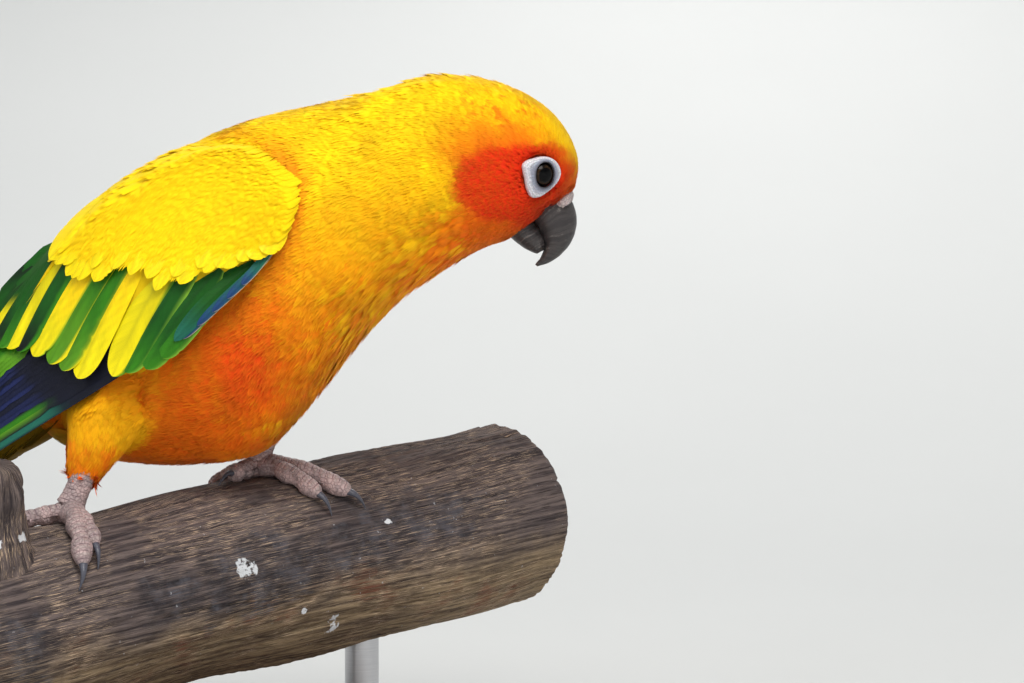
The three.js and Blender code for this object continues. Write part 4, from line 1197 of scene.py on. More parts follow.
def lesser_coverts(name, chart):
    """Short, soft yellow feathers from the bend down to the median tier."""
    u, v = even_places((-5, -16), (78, 29), LESSER_STEP)
    long = between(6.0, 12, ease(u, 0, 35)) * rng.uniform(0.85, 1.15, len(u))
    flat = np.stack([u, v, 0 * u], 1)
    fall = (between(0.0, 0.45, ease(u, 2, 40)) * ease(v, -12, 4) + rng.normal(0, 0.04, len(u))
            + 0.1 * ripple(flat, 18, 61))
    way = np.stack([np.cos(fall), -np.sin(fall)])
    end_u, end_v = u + way[0] * long, v + way[1] * long
    _, tips_u, tips_v = zip(*MEDIAN_TIPS)
    limit = np.interp(end_v, tips_v, tips_u) - 3.0
    front = np.abs(v - 4) < 8 - 2 * np.maximum(-2 - u, 0)
    low = profile(WING_LOWER, u) + between(-1.6, 0.8, ease(u, 12, 24))
    keep = (end_u < limit) & (v > low) & (v < profile(WING_UPPER, u) - 0.5) & ((u > -2) | front)
    u, v, long, way = u[keep], v[keep], long[keep], way[:, keep]
    golden = 0.14 * ease(ripple(flat[keep], 9, 62), 0.1, 0.8)
    plume = tint(np.tile(WING_YELLOW, (len(u), 1)), GOLD, golden)
    uv = np.stack([(u + 6) / 96, (v + 20) / 60], 1)
    raised = 0.4 * ease(u, 12, 2) - 1.2 * ease(u, 0, -5)
    wide = long * between(0.32, 0.46, ease(u, 4, 20))
    tufts = chart_tufts(chart, u, v, way, long, wide, -0.9 + raised, rng.uniform(2.0, 2.2, len(u)), plume,
                        uv, 0.93)
    tuft_piece(f"wing_lesser_{name}", tufts)


for name, side in SIDES:
    wing(name, side)
print("wings of", FLIGHT, "flight feathers and", len(GREATER_PAINT), "greater coverts each")

# %% [markdown]
# On the back the feathers of the mantle and the shoulders close over the rump between the folded wings.
# They lie on a chart that bridges the wings' upper edges.

# %% Mantle and shoulders
CAPE = (10, 92)


def cape_point(u, w, lift):
    """A point over the back: u along the wings, w from the left edge, -1, to the right, 1."""
    u, w, lift = np.broadcast_arrays(np.asarray(u, float), w, lift)
    edge = wing_point(u, profile(WING_UPPER, u) - 2.5, 0 * u, -1)
    crown = 3.2 * (1 - w**2) - 0.3 * w**6 - 0.9 * ease(u, 24, 12)
    rise = np.stack([-0.35 * (crown + lift), edge[..., 1] * w, edge[..., 2] + (crown + lift)], -1)
    return rise + np.stack([edge[..., 0], 0 * u, 0 * u], -1)


def cape():
    flat, faces = grid(40, 24)
    u, w = between(*CAPE, flat[:, 0]), 2 * flat[:, 1] - 1
    # The sheet under the mantle is a darker yellow, painted shade where it shows between the tufts, turning
    # olive toward the tail.
    colour = tint(np.tile(YELLOW * 0.8, (len(u), 1)), OLIVE, ease(u, 66, 84))
    sheet = mesh_piece("mantle_skin", cape_point(u, w, -0.8 + 0 * u), [faces], coat_feathers,
                       colour, no_mark(len(u)), flat[:, ::-1] * 0.9 + 0.05)
    sheet.modifiers.new("thickness", "SOLIDIFY").thickness = 0.6 * MM
    scapulars = Layer()
    rows = 7
    for row in range(rows):
        for k in range(6):
            w0 = (k + 0.5 * (row % 2) - 2.75) / 3.5
            tip = between(44, CAPE[1] + 4, row / (rows - 1)) + rng.uniform(-1, 1) - 3 * w0 * w0
            green = ease(tip, 74, 96)
            paint = two_tone(tint(WING_YELLOW, BOTTLE, green), tint(WING_YELLOW, GRASS, green), 0.4, 0.95,
                             row * 6 + k, LEMON if green > 0.3 else None, 0.18)
            level = 0.5 - 0.12 * row
            long_feather(scapulars, cape_point, COVERT_OUTLINE, (tip - 20, w0 * 0.9), (tip, w0), 0.62,
                         straight(level - 0.9, level + 0.6), paint, 0, 0, (row * 6 + k, rows * 6), 2)
    scapulars.piece("scapulars", long_feathers, "plumage_yellow")
    u, w = even_places((CAPE[0], -1), (72, 1), 1)
    u, w = np.repeat(u, 9), np.repeat(w, 9)
    u, w = u + rng.uniform(-0.5, 0.5, len(u)), np.clip(w + rng.uniform(-0.9, 0.9, len(u)), -1.05, 1.05)
    long = rng.uniform(9, 12, len(u))
    short = u + long < 68 + rng.uniform(-4, 0, len(u))
    u, w, long = u[short], w[short], long[short]
    plume = np.tile(WING_YELLOW, (len(u), 1))
    tufts = chart_tufts(cape_point, u, w, np.stack([np.ones(len(u)), 0 * u]), long, long * 0.46, -0.4,
                        rng.uniform(1.2, 2.0, len(u)), plume, np.stack([(w + 1.2) / 2.4, (u - 20) / 80], 1))
    tuft_piece("coat_mantle", tufts)


cape()
print("mantle and shoulders laid")

# %% [markdown]
# The tail is long and stepped: twelve feathers, the middle pair longest and on top. They are olive
# green turning blue at the tips, dusky beneath, with coverts over and under their roots.

# %% Tail
TAIL_LENGTH = 134
TAIL_FALL = math.radians(40)
TAIL_ROOT = np.array([-73, 0, 18])
TAIL_BACK = np.array([-math.cos(TAIL_FALL), 0, -math.sin(TAIL_FALL)])
TAIL_UP = np.array([TAIL_BACK[2], 0, -TAIL_BACK[0]])


def tail_point(s, across, lift):
    s, across, lift = np.broadcast_arrays(np.asarray(s, float), across, lift)
    rise = lift - 0.0006 * s * s - 0.012 * across * across
    return (TAIL_ROOT + s[..., None] * TAIL_BACK + rise[..., None] * TAIL_UP
            + across[..., None] * np.array([0, 1, 0]))


def tail_core(s, c):
    half = profile(((0, 8.0), (0.35, 8.6), (0.7, 8.4), (1, 6.5)), s)
    deep = profile(((0, 7.6), (0.25, 6.4), (0.6, 4.0), (1, 2.0)), s)
    turn = 2 * math.pi * c
    return tail_point(between(-2.0, 26, s), half * np.sin(turn), deep * np.cos(turn)), no_mark(len(s))


SKY = srgb(52, 96, 136)
MOSS = srgb(84, 96, 22)
# The tail's core is a darker olive, painted shade where it shows between the feathers.
tube("tail_core", 20, 32, tail_core, coat_feathers,
     lambda p: np.tile(OLIVE * 0.7, (len(p), 1)))
tail = Layer()
for pair in range(6):
    for side in (1, -1):
        layer = (1 - side) / 2 if pair == 0 else pair + 1
        reach = TAIL_LENGTH * (1 - 0.42 * (pair / 5) ** 1.15)
        out = 1 if pair == 0 else 4.6 + 0.9 * pair
        root, tip = (4, side * min(out, 4.6)), (reach, side * max(out - 2.4, 0.6))
        long_feather(tail, tail_point, FLIGHT_OUTLINE, root, tip, 10 if pair == 0 else 9,
                     lambda s, u, layer=layer: 2.4 - 0.8 * layer + 0 * s,
                     two_tone(MOSS, SKY, 0.5, 0.92, pair, LEAF, 0.2), 0, 0.01,
                     (pair * 2 + max(side, 0), 12), 4)
tail.piece("tail_vanes", long_feathers, "tail_feathers", ("tail",))


def covert_height(lift, sign):
    """Tail coverts rise from their roots and press close further back; sign is -1 below."""
    return lambda s, u: lift - sign * (0.9 - 0.9 * s) * 1.5 - sign * 0.05 * np.maximum(u, 0)


coverts = Layer()
for level, sign in ((5.2, 1), (-4.6, -1)):
    for row in range(4):
        for k in range(5):
            across = (k - 2 + 0.5 * (row % 2)) * 3.4
            tip = between(14, 40, row / 3) - 1.2 * abs(k - 2) - (3 if sign < 0 else 0)
            lift = level * (1 - 0.014 * row * 12) - sign * 0.25 * abs(k - 2)
            shade = two_tone(OLIVE, tint(OLIVE, LEMON, 0.35) if sign > 0 else OLIVE * 0.8, 0.5, 1, k)
            long_feather(coverts, tail_point, COVERT_OUTLINE, (tip - 20, across * 0.7), (tip, across), 8.5,
                         covert_height(lift, sign), shade, 0, 0, (row * 5 + k, 20), 2)
coverts.piece("tail_coverts", coat_feathers, "tail_feathers")
print("tail of 12 feathers")

# %% [markdown]
# The bill hangs from a bare cere with a nostril on each side. It is drawn in the face's own frame,
# down the face and out from it, from a few sections, then worn into thin lengthwise flakes.

# %% Bill and cere
BILL_BASE = np.array([75.5, 0, 80])
BILL_PITCH = math.radians(36.4)
FACE_DOWN = np.array([-math.cos(BILL_PITCH), 0, -math.sin(BILL_PITCH)])
FACE_OUT = np.array([math.sin(BILL_PITCH), 0, -math.cos(BILL_PITCH)])
# Sections are (ridge, edge, half width), where ridge and edge are down the face and out from it.
UPPER_BILL = (((0.2, -3.0), (12.6, -3.0), 6.0), ((0.4, 0.0), (12.6, 0.0), 6.4),
              ((0.9, 3.2), (12.8, 2.2), 6.1), ((2.4, 6.6), (13.2, 4.6), 5.4),
              ((5.2, 9.6), (13.6, 6.2), 4.6), ((8.8, 11.5), (14.3, 7.4), 3.7),
              ((12.6, 12.2), (15.4, 8.5), 2.8), ((16.2, 11.9), (17.3, 9.5), 1.8),
              ((19.2, 10.9), (19.4, 10.1), 0.6))
LOWER_BILL = (((20.6, -3.0), (12.4, -3.0), 5.4), ((20.4, 0.0), (12.4, 0.0), 5.6),
              ((20.0, 1.9), (12.3, 2.2), 5.2), ((19.2, 4.4), (12.6, 4.6), 4.5),
              ((18.2, 6.5), (13.2, 6.6), 3.6), ((17.2, 8.0), (14.6, 8.2), 2.0))
CERE = (((-1.0, -2.6), (6.4, -2.6), 6.0), ((-1.1, 0.1), (6.4, 0.1), 6.3),
        ((-0.6, 1.1), (6.0, 1.0), 6.2), ((0.4, 1.9), (4.8, 1.7), 5.8))
NOSTRIL = np.array([2.6, 1.8, 4.3])


def face_loft(sections, keel, wear):
    """A place function through sections of ridge, edge and half width; wear moves the points a little."""
    def place(s, c):
        at = s * (len(sections) - 1)
        curve = lambda pick: profile([(i, pick(section)) for i, section in enumerate(sections)], at)
        ridge = np.stack([curve(lambda q: q[0][0]), curve(lambda q: q[0][1])], 1)
        edge = np.stack([curve(lambda q: q[1][0]), curve(lambda q: q[1][1])], 1)
        half = curve(lambda q: q[2])
        turn = 2 * math.pi * c
        middle, deep = (ridge + edge) / 2, (ridge - edge) / 2
        flat = middle + deep * np.cos(turn)[:, None]
        wide = half * np.sin(turn) * (1 - keel * np.cos(turn))
        local = wear(np.stack([flat[:, 0], flat[:, 1], wide], 1), s)
        points = (BILL_BASE + local[:, :1] * FACE_DOWN + local[:, 1:2] * FACE_OUT
                  + local[:, 2:] * np.array([0, 1, 0]))
        return points, np.stack([np.abs(np.sin(turn)), s, 0 * s], 1)
    return place


def flaked(local, s):
    depth = 0.10 * ripple(local * [0.5, 1.4, 2.2], 1.6, 21) + 0.06 * ripple(local * [1, 3, 4], 1.2, 22)
    return local + np.stack([np.zeros(len(s)), depth * 0.6, depth * np.sign(local[:, 2]) * 0.8], 1)


def with_nostrils(local, s):
    for side in (-1, 1):
        far = np.linalg.norm((local - NOSTRIL * [1, 1, side]) / [1.15, 1.3, 1.15], axis=1)
        pit = ease(far, 1.0, 0.45)
        rim = np.exp(-((far - 1.15) / 0.25) ** 2)
        local = local + np.stack([0 * pit, -1.0 * pit + 0.22 * rim, side * (-0.9 * pit + 0.2 * rim)], 1)
    return local + 0.05 * ripple(local, 0.9, 23)[:, None]


tube("bill_upper_horn", 56, 40, face_loft(UPPER_BILL, 0.18, flaked), bill_horn,
     replaces=("bill_upper",))
tube("bill_lower_horn", 32, 36, face_loft(LOWER_BILL, 0, flaked), bill_horn,
     replaces=("bill_lower",))
tube("cere_skin", 30, 72, face_loft(CERE, 0.1, with_nostrils), cere_skin, replaces=("cere",))
print("bill and cere")

# %% [markdown]
# Each eye is a ball with a slight bulge for the cornea, set behind a ring of bare white skin. The ring is
# turned as on a lathe, creased round its opening and drawn out to soft corners, as the real one is.

# %% Eyes
EYE_OPENING = 3.05
RING_HEIGHTS = ((0, 3.2), (0.07, 3.68), (0.16, 3.76), (0.3, 3.55), (0.5, 3.38), (0.72, 3.1),
                (0.88, 2.7), (1, 1.6))
RING_SHARES = ((0, 0.56), (0.07, 0.57), (0.16, 0.61), (0.3, 0.69), (0.5, 0.79), (0.72, 0.89),
               (0.88, 0.97), (1, 1.0))


def eye_ball(name):
    middle, out = EYES[name]
    ball = bmesh.new()
    bmesh.ops.create_uvsphere(ball, u_segments=48, v_segments=32, radius=1)
    turn = Vector((0, 0, 1)).rotation_difference(Vector(out)).to_matrix()
    marks = []
    for v in ball.verts:
        flat = math.hypot(v.co.x, v.co.y)
        marks.append((flat * EYE_RADIUS / EYE_OPENING if v.co.z > 0 else 2.0, 0, 0))
        bulge = 1 + 0.05 * math.exp(-(flat / 0.5) ** 2) * (v.co.z > 0)
        v.co = Vector(to_row(middle + np.array(turn @ v.co) * (EYE_RADIUS - 0.02) * bulge))
    mesh = bpy.data.meshes.new(f"eye_ball_{name}")
    for face in ball.faces:
        face.smooth = True
    ball.to_mesh(mesh)
    ball.free()
    add_vane(mesh, marks)
    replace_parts(piece(mesh.name, mesh, wet_eye.material), f"eye_{name}")


def eye_ring(name):
    middle, out = EYES[name]
    forward, up = eye_axes(out)

    def place(s, c):
        turn = 2 * math.pi * c
        tall = 1 + 0.1 * (np.sin(turn) ** 2 - np.cos(turn) ** 2)
        reach = tint((RING_RADIUS * tall)[:, None], ring_reach(turn)[:, None], ease(s, 0.1, 0.75))[:, 0]
        r = profile(RING_SHARES, s) * reach
        crease = np.sin(34 * turn + 3 * np.sin(3 * turn)) * 0.06 * ease(s, 0.1, 0.35) * ease(s, 1.0, 0.8)
        folds = 0.10 * np.sin(s * 27 + 1.2 * np.sin(2 * turn) + 0.5 * np.sin(5 * turn)) * ease(s, 0.2, 0.35)
        h = profile(RING_HEIGHTS, s) + crease + folds
        flat = forward * (r * np.cos(turn))[:, None] + up * (r * np.sin(turn))[:, None]
        return middle + flat + out * h[:, None], np.stack([s, turn, 0 * s], 1)

    flat, faces = grid(26, 120)
    points, mark = place(flat[:, 0], flat[:, 1])
    made = mesh_piece(f"eye_lids_{name}", points, [faces], ring_skin, None, mark)
    weld(made, facing=out)
    thick = made.modifiers.new("thickness", "SOLIDIFY")
    thick.thickness, thick.offset = 0.35 * MM, -1
    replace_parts(made, f"eye_ring_{name}")


for name in EYES:
    eye_ball(name)
    eye_ring(name)
print("two eyes")

# %% [markdown]
# A conure stands on two toes in front and two behind. A toe is a tube laid over the branch's chart: pads
# bulge underneath, plates ring its top, and it ends in a claw. Feet and claws keep the solids' places.

# %% Feet
TOES = {
    "right": (("outer_front", (-12.4, 53), 2.5), ("inner_front", (-5.8, 43), 2.3),
              ("outer_back", (-13, -13), 2.3), ("inner_back", (5, -34), 2.0)),
    "left": (("outer_front", (17, 45), 2.5), ("inner_front", (6.5, 43), 2.3),
             ("outer_back", (-12, 8), 2.3), ("inner_back", (-6, -33), 2.0)),
}
FOOT_SPACING = 62.6
CLAW_LENGTH = 7.5
CLEAR = 0.4


def tube_along(centres, wide, deep, across, turn):
    """Points round a path: centres, half sizes and a turn for each point."""
    ahead = unit(np.gradient(centres[:, 0], axis=0))[:, None]
    side = unit(across - ahead * (across * ahead).sum(-1, keepdims=True))
    down = np.cross(ahead, side)
    return centres + side * (wide * np.cos(turn))[..., None] + down * (deep * np.sin(turn))[..., None]


def row_faces(rows, cols):
    """The faces of a grid whose points run row by row."""
    index = np.arange(rows * cols).reshape(rows, cols)
    return np.stack([index[:-1, :-1], index[:-1, 1:], index[1:, 1:], index[1:, :-1]], -1).reshape(-1, 4)


def path_tube(name, rows, cols, path, material, replaces=()):
    """A closed tube whose path function gives centres, half sizes, marks and the way across, on a grid."""
    s = np.linspace(0, 1, rows + 1)[:, None] * np.ones(cols + 1)
    c = np.linspace(0, 1, cols + 1) * np.ones((rows + 1, 1))
    centres, wide, deep, mark, across = path(s, 2 * math.pi * c)
    points = tube_along(centres, wide, deep, across, 2 * math.pi * c).reshape(-1, 3)
    marks = mark.reshape(-1, 3) if mark.ndim == 3 else np.stack([mark, s, 0 * s], -1).reshape(-1, 3)
    made = weld(mesh_piece(name, points, [row_faces(rows + 1, cols + 1)], material, None, marks), True)
    if replaces:
        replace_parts(made, *replaces)


def toe_reach(end):
    return math.hypot(end[0], math.radians(end[1]) * BRANCH_RADIUS)


def toe_path(foot, end, girth):
    reach = toe_reach(end)
    root, tip = branch_point(foot, 0, girth), branch_point(foot + end[0], math.radians(end[1]), girth)
    across = unit(np.cross(branch_point(foot, 0, 1) - branch_point(foot, 0, 0), tip - root))

    def path(s, turn):
        top = ease(np.sin(turn), 0.1, 0.8)
        plates = np.abs(np.sin(s * reach * math.pi / 1.9 + 0.5 * np.cos(turn)))
        pads = 1.05 + (0.05 + 0.12 * (1 - top)) * np.sin(s * 3 * 2 * math.pi - 1.2)
        end_round = np.sqrt(np.clip(1 - ((s - 0.9) / 0.1) ** 2, 0.12, 1)) * (s > 0.9) + (s <= 0.9)
        size = girth * between(1.2, 0.9, s) * pads * end_round
        skin_place = np.stack([s * reach, turn * girth, 0 * s], -1).reshape(-1, 3)
        knob = 0.10 * ripple(skin_place, 1.1, 31).reshape(s.shape)
        size = size + 0.24 * (plates ** 0.5) * top * ease(s, 0, 0.08) + knob * (1 - top)
        lift = girth * between(1.06, 0.82, s) + CLEAR
        centres = branch_point(foot + end[0] * s, math.radians(end[1]) * s, lift)
        return centres, size, size, top * plates + 0.5 * (1 - top), across
    return path


for name, side in SIDES:
    foot = side * FOOT_SPACING / 2
    bottom = np.array(THIGHS[name][1], float)
    for toe, end, girth in TOES[name]:
        path_tube(f"toe_{name}_{toe}", 110, 28, toe_path(foot, end, girth), toe_skin)
    heel, knee = branch_point(foot, 0, 4.2), bottom + [2.6, 0, 6]

    def shank(s, turn):
        centres = heel + (knee - heel) * s[..., None]
        rings = np.abs(np.sin(s * 9 * math.pi + 0.7 * np.sin(turn)))
        size = (between(3.5, 3.3, ease(s, 0, 0.5)) + 0.14 * rings ** 0.5 + 0.5 * np.exp(-(s / 0.12) ** 2)
                - 0.5 * (s < 0.01))
        return centres, size, size, rings * 0.8, np.array([0, 1.0, 0])

    path_tube(f"shank_{name}", 40, 28, shank, toe_skin, (f"foot_{name}",))
    for toe, end, girth in TOES[name]:
        reach = toe_reach(end)

        def claw(s, turn, foot=foot, end=end, girth=girth, reach=reach):
            share = 1 + (CLAW_LENGTH * s - 1.6) / reach
            radius = between(girth * 0.60, 0.12, s ** 0.85) + 0.02
            arch = 1.2 * np.sin(math.pi * s)
            lift = between(girth * 0.82, radius, s) + arch + CLEAR
            centres = branch_point(foot + end[0] * share, math.radians(end[1]) * share, lift)
            across = unit(np.cross(ALONG, branch_point(foot + end[0], math.radians(end[1]), girth)
                                   - branch_point(foot, 0, girth)))
            return centres, radius * 0.85, radius, 0 * s, across

        path_tube(f"claw_horn_{name}_{toe}", 24, 20, claw, claw_horn, (f"claw_{name}_{toe}",))
print("feet with", sum(len(toes) for toes in TOES.values()), "toes and claws")

# %% [markdown]
# The branch is old dead wood: long fibres and cracks run along it, thin dark plates of bark still hold
# in places, and both ends are sawn. Its surface is the solids' chart, roughened in the mesh.

# %% Weathered wood
# Places along and round the branch, with their half sizes.
DROPPINGS = ((7, 34.6, 3.4, 3.4), (37.5, 60.6, 2.2, 5.5), (26, 52, 1.4, 1.2), (58, 31, 1.6, 1.0))
BARK_PLATES = ((14, 38, 27, 12), (-19, 37, 12, 7), (62, 33, 26, 9), (-72, 44, 14, 12), (20, 120, 40, 14))


def bark_material():
    paint = Paint("weathered_wood", Roughness=0.85, Specular_IOR_Level=0.3)
    chart = paint.attribute("vane", out=1)
    along, around, plate = (paint.part(chart, axis) for axis in range(3))
    strand = lambda long, across, detail: paint.noise(
        paint.join(along * long, around * across, 0.0), 1.0, detail, 0.65)
    fibre, fine, scratch = strand(0.03, 0.7, 5.0), strand(0.09, 2.6, 4.0), strand(0.16, 5.0, 3.0)
    patch = paint.noise(paint.place(), 45, 4.0, 0.6)
    blotch = paint.noise(paint.place(), 140, 4.0, 0.65)
    specks = paint.noise(paint.place(), 900, 2.0)
    splash = paint.noise(paint.place(), 330, 3.0, 0.6)
    below = (around + patch * 26).step(52, 68) * around.step(134, 118)
    upper = paint.colour(srgb(58, 50, 52), srgb(116, 102, 98), fibre.step(0.36, 0.64))
    lower = paint.colour(srgb(88, 72, 58), srgb(158, 136, 106), fibre.step(0.36, 0.64))
    wood = paint.colour(upper, lower, below)
    wood = paint.colour(wood, srgb(40, 33, 34), fine.step(0.48, 0.34) * 0.9)
    wood = paint.colour(wood, srgb(206, 178, 150), scratch.step(0.53, 0.64) * patch.step(0.38, 0.56) * 0.9)
    wood = paint.colour(wood, srgb(118, 58, 40), below * patch.step(0.52, 0.64) * fine.step(0.44, 0.6) * 0.7)
    slate = paint.colour(srgb(42, 38, 42), srgb(88, 88, 96), blotch.step(0.42, 0.70))
    slate = paint.colour(slate, srgb(150, 134, 120), scratch.step(0.6, 0.7) * 0.5)
    whole = paint.colour(wood, slate, plate * fine.step(0.62, 0.44) * 0.85)
    whole = paint.colour(whole, srgb(196, 196, 200), specks.step(0.68, 0.76) * blotch.step(0.5, 0.62) * 0.8)
    for a, r, long, wide in DROPPINGS:
        off_a, off_r = (along - a) * (1 / long), (around - r) * (1 / wide)
        dropping = (off_a * off_a + off_r * off_r + splash * 5.0).step(3.1, 2.7) * specks.step(0.22, 0.40)
        whole = paint.colour(whole, srgb(224, 226, 230), dropping)
    paint.set("Base Color", whole)
    paint.set("Normal", paint.bump(fine * 0.9 + fibre * 0.8 + scratch * 0.5 + specks * 0.15, 0.9, 0.0007))
    return paint.material


def sawn_wood():
    paint = Paint("sawn_wood", Roughness=0.8, Specular_IOR_Level=0.3)
    chart = paint.attribute("vane", out=1)
    radius, around = paint.part(chart, 0), paint.part(chart, 1)
    wander = paint.noise(paint.place(), 60, 3.0)
    rings = ((radius + wander * 3) * 3.4).math("SINE") * 0.5 + 0.5
    rays = paint.noise(paint.join(radius * 0.1, around * 14, 0.0), 1.0, 3.0)
    paint.set("Base Color", paint.colour(srgb(166, 132, 92), srgb(120, 88, 58), rings * 0.6 + rays * 0.5))
    paint.set("Normal", paint.bump(rings * 0.4 + rays, 0.4, 0.0003))
    return paint.material


dead_wood = bark_material()
end_grain = sawn_wood()

# %% The branch
BARK_ROWS, BARK_COLS = 300, 260
s, c = np.meshgrid(np.linspace(0, 1, BARK_ROWS + 1), np.linspace(0, 1, BARK_COLS + 1), indexing="ij")
a = between(*BRANCH_ENDS, s)
turn = 2 * math.pi * c
ring = np.stack([np.cos(turn), np.sin(turn)], -1)


def field(stretch, size, seed):
    """A pattern over the bark, drawn out along the branch where stretch is small."""
    places = np.concatenate([a[..., None] * stretch, ring * BRANCH_RADIUS], -1).reshape(-1, 3)
    return ripple(places, size, seed).reshape(a.shape)


around = np.mod(turn + 1.0, 2 * math.pi) * BRANCH_RADIUS - BRANCH_RADIUS
ragged = 0.22 * field(0.6, 14, 41) + 0.16 * field(0.8, 5, 42)
plate = np.zeros_like(a)
for a0, r0, long, wide in BARK_PLATES:
    plate = np.maximum(plate, ease(np.hypot((a - a0) / long, (around - r0) / wide) + ragged, 1.25, 0.8))
cracks = ease(np.abs(field(0.07, 7, 43)), 0.08, 0.0) * ease(field(0.3, 30, 44), -0.2, 0.3)
hair = ease(np.abs(field(0.04, 3.4, 48)), 0.10, 0.0) * ease(field(0.3, 24, 49), 0.0, 0.4)
rough = 0.26 * field(0.06, 4.5, 45) + 0.16 * field(0.10, 2.2, 46) + 0.10 * field(0.4, 1.6, 47)
lift = rough * (1 - 0.4 * plate) + 0.30 * plate - 0.9 * cracks - 0.45 * hair
grip = np.zeros_like(a)
for name, side in SIDES:
    for _, end, _ in TOES[name]:
        for share in np.linspace(0, 1.25, 8):
            toe_a, toe_turn = side * FOOT_SPACING / 2 + end[0] * share, math.radians(end[1]) * share
            round_off = np.mod(turn - toe_turn + math.pi, 2 * math.pi) - math.pi
            off = np.hypot(a - toe_a, round_off * BRANCH_RADIUS)
            grip = np.maximum(grip, ease(off, 5.5, 3.0))
lift = between(np.minimum(lift, 0.35), np.minimum(lift, 0.1), grip)
ROUND_END, ROUND_OVER = 1.2, 1.5
near_end, far_end = BRANCH_ENDS
round_end = ROUND_END * (ease(a, near_end + ROUND_OVER, near_end) + ease(a, far_end - ROUND_OVER, far_end))
points = branch_point(a, turn, lift - round_end).reshape(-1, 3)
marks = np.stack([a, around, plate], -1).reshape(-1, 3)
branch = weld(mesh_piece("branch_wood", points, [row_faces(*a.shape)], dead_wood, None, marks))
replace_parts(branch, "perch")


def sawn_end(name, a_end, sign):
    """A flat of end grain that closes the branch's open end."""
    flat, faces = grid(24, 200)
    r, t = flat[:, 0], 2 * math.pi * flat[:, 1]
    rim = np.interp(np.mod(t, 2 * math.pi), turn[0], lift[0 if sign < 0 else -1]) - ROUND_END
    edge = branch_point(a_end, t, rim)
    centre = BRANCH_MIDDLE + a_end * ALONG
    points = centre + (edge - centre) * r[:, None]
    marks = np.stack([r * BRANCH_RADIUS, t, 0 * r], 1)
    weld(mesh_piece(name, points, [faces], end_grain, None, marks), facing=ALONG * sign)


sawn_end("sawn_end_near", near_end, -1)
sawn_end("sawn_end_far", far_end, 1)

KNOB_PLACE, KNOB_TURN = -62, 0.3
KNOB = ((-8, 13.5), (-3, 12.5), (3, 10), (9, 8.8), (16, 8.4), (21, 7), (23.8, 4.6), (24, 1.5))


def knob(s, turn):
    """The broken knob of a side twig."""
    rise = between(-8, 24, s)
    centres = branch_point(KNOB_PLACE + 0 * rise, KNOB_TURN, rise)
    cloud = np.stack([rise * 0.3, np.cos(turn) * 8, np.sin(turn) * 8], -1).reshape(-1, 3)
    size = profile(KNOB, rise) + 0.5 * ripple(cloud, 3.4, 51).reshape(s.shape)
    size = size + 0.2 * ripple(cloud, 1.2, 52).reshape(s.shape)
    return centres, size, size, np.stack([rise * 1.5, 14 + 8 * np.abs(turn - math.pi), 0 * s], -1), NEAR


path_tube("branch_knob", 60, 60, knob, dead_wood)
print("branch", far_end - near_end, "mm long")

# %% [markdown]
# The stand is plain: a turned base of dark, satin wood and two steel rods up into the branch.

# %% Stand
def turned_wood():
    paint = Paint("base_wood", Roughness=0.42, Coat_Weight=0.3, Coat_Roughness=0.25)
    grain = paint.noise(paint.place((14, 220, 60)), 1.0, 6.0, 0.6)
    pores = paint.noise(paint.place((60, 1600, 900)), 1.0, 3.0)
    veins = grain.step(0.35, 0.68) * 0.9 + pores * 0.1
    paint.set("Base Color", paint.colour(srgb(48, 30, 20), srgb(104, 66, 42), veins))
    paint.set("Normal", paint.bump(grain * 0.4 + pores.step(0.3, 0.5), 0.25, 0.0002))
    return paint.material


def brushed_steel():
    paint = Paint("brushed_steel", Metallic=1.0)
    lines = paint.noise(paint.place((60, 60, 4000)), 1.0, 2.0)
    paint.set("Base Color", paint.colour(srgb(176, 176, 180), srgb(206, 206, 208), lines))
    paint.set("Roughness", lines * 0.15 + 0.24)
    paint.set("Normal", paint.bump(lines, 0.15, 0.00005))
    return paint.material


def spun(name, places, centre, steps, inward=False):
    """A mesh spun round an upright line from places in metres, facing out or in."""
    shape = bmesh.new()
    line = [shape.verts.new(place) for place in places]
    edges = [shape.edges.new(pair) for pair in zip(line, line[1:])]
    bmesh.ops.spin(shape, geom=line + edges, cent=centre, axis=(0, 0, 1), angle=2 * math.pi, steps=steps,
                   use_merge=True)
    bmesh.ops.remove_doubles(shape, verts=shape.verts, dist=0.01 * MM)
    bmesh.ops.recalc_face_normals(shape, faces=shape.faces)
    if inward:
        bmesh.ops.reverse_faces(shape, faces=shape.faces)
    for face in shape.faces:
        face.smooth = True
    mesh = bpy.data.meshes.new(name)
    shape.to_mesh(mesh)
    shape.free()
    return mesh


def turned(name, outline, middle, steps, material, replaces):
    """A turned piece from an outline of (radius, height) over its middle."""
    places = [to_row((middle[0] + r, middle[1], middle[2] + h)) for r, h in outline]
    made = piece(name, spun(name, places, Vector(to_row(middle)), steps), material)
    made.modifiers.new("edges", "EDGE_SPLIT").split_angle = math.radians(40)
    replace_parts(made, *replaces)


def arc(middle, radius, start, end, steps=6):
    return [(middle[0] + radius * math.cos(t), middle[1] + radius * math.sin(t))
            for t in np.radians(np.linspace(start, end, steps))]


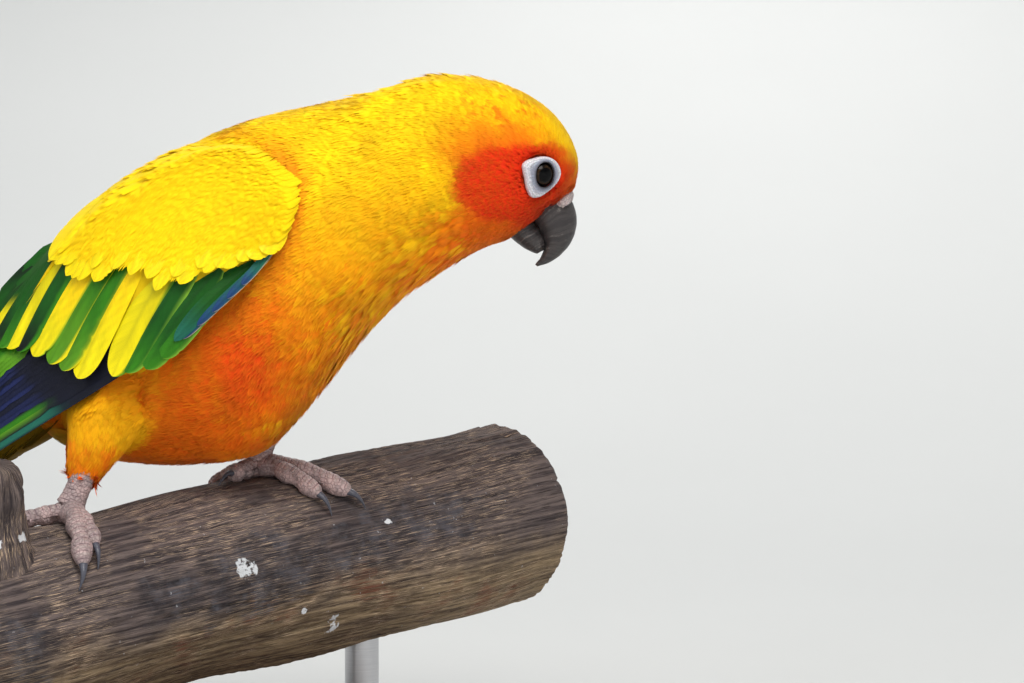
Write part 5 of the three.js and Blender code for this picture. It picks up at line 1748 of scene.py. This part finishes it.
BASE_RADIUS, BASE_THICKNESS = 74, 10
ROD_PLACES = (-38, 62)  # along the branch
ROD_RADIUS, ROD_SINK = 5, 5
base_outline = [(0, 0), *arc((BASE_RADIUS - 1.5, 1.5), 1.5, -90, 0),
                *arc((BASE_RADIUS - 3, BASE_THICKNESS - 3), 3, 0, 90),
                *arc((BASE_RADIUS - 6, BASE_THICKNESS), 0.5, 0, -180), (0, BASE_THICKNESS)]
base_middle = stand_middle * [1, 1, 0] - [0, 0, BASE_DROP]
turned("turned_base", base_outline, base_middle, 96, turned_wood(), ("stand_base",))
steel = brushed_steel()
for number, place in enumerate(ROD_PLACES, 1):
    foot = branch_point(place, math.pi, 0)
    low = BASE_THICKNESS - BASE_DROP
    top = foot[2] + ROD_SINK - low
    outline = [(0, 0), (7.5, 0), *arc((6.9, 1.4), 0.6, 0, 90, 4), (5.6, 2.2), (ROD_RADIUS, 2.6),
               (ROD_RADIUS, top), (0, top)]
    turned(f"steel_rod_{number}", outline, np.array([foot[0], foot[1], low]), 48, steel,
           (f"stand_rod_{number}",))
print("stand of", BASE_RADIUS * 2, "mm across")

# %% [markdown]
# A plain pale floor that curves up into a wall all round, so that no horizon shows from any side, and
# soft light from a large window above and before the bird.

# %% Floor and light
FLOOR_FLAT, FLOOR_REACH = 0.5, 3.4
curve = [(r, 0, 0.35 * (r - FLOOR_FLAT) ** 2.4) for r in np.linspace(FLOOR_FLAT, FLOOR_REACH, 24)]
floor_mesh = spun("floor", [(0, 0, 0), *curve], (0, 0, 0), 64, inward=True)
floor = bpy.data.objects.new("floor", floor_mesh)
bpy.context.scene.collection.objects.link(floor)
floor_paint = Paint("floor", Roughness=0.9)
marks = floor_paint.noise(floor_paint.place(), 3)
floor_paint.set("Base Color", floor_paint.colour(srgb(206, 206, 204), srgb(212, 212, 210), marks))
floor_mesh.materials.append(floor_paint.material)


def soft_light(name, place, aim, size, power, colour):
    lamp = bpy.data.objects.new(name, bpy.data.lights.new(name, "AREA"))
    lamp.data.shape, lamp.data.size, lamp.data.energy, lamp.data.color = "DISK", size, power, colour
    lamp.location = place
    lamp.rotation_euler = (Vector(aim) - Vector(place)).to_track_quat("-Z", "Y").to_euler()
    bpy.context.scene.collection.objects.link(lamp)


heart = (0.03, 0, 0.14)
soft_light("key", (0.25, -0.9, 1.25), heart, 0.9, 18, (1, 0.98, 0.95))
soft_light("fill", (-1.0, -1.0, 1.0), heart, 1.0, 5, (0.95, 0.98, 1))
soft_light("rim", (0.2, 1.3, 0.9), heart, 0.8, 7, (1, 1, 1))
world = bpy.data.worlds.new("studio")
world.use_nodes = True
sky = world.node_tree.nodes["Background"].inputs
sky["Color"].default_value = (0.62, 0.66, 0.7, 1)
sky["Strength"].default_value = 0.9
bpy.context.scene.world = world
bpy.context.scene.view_settings.view_transform = "Standard"
print("lights set")
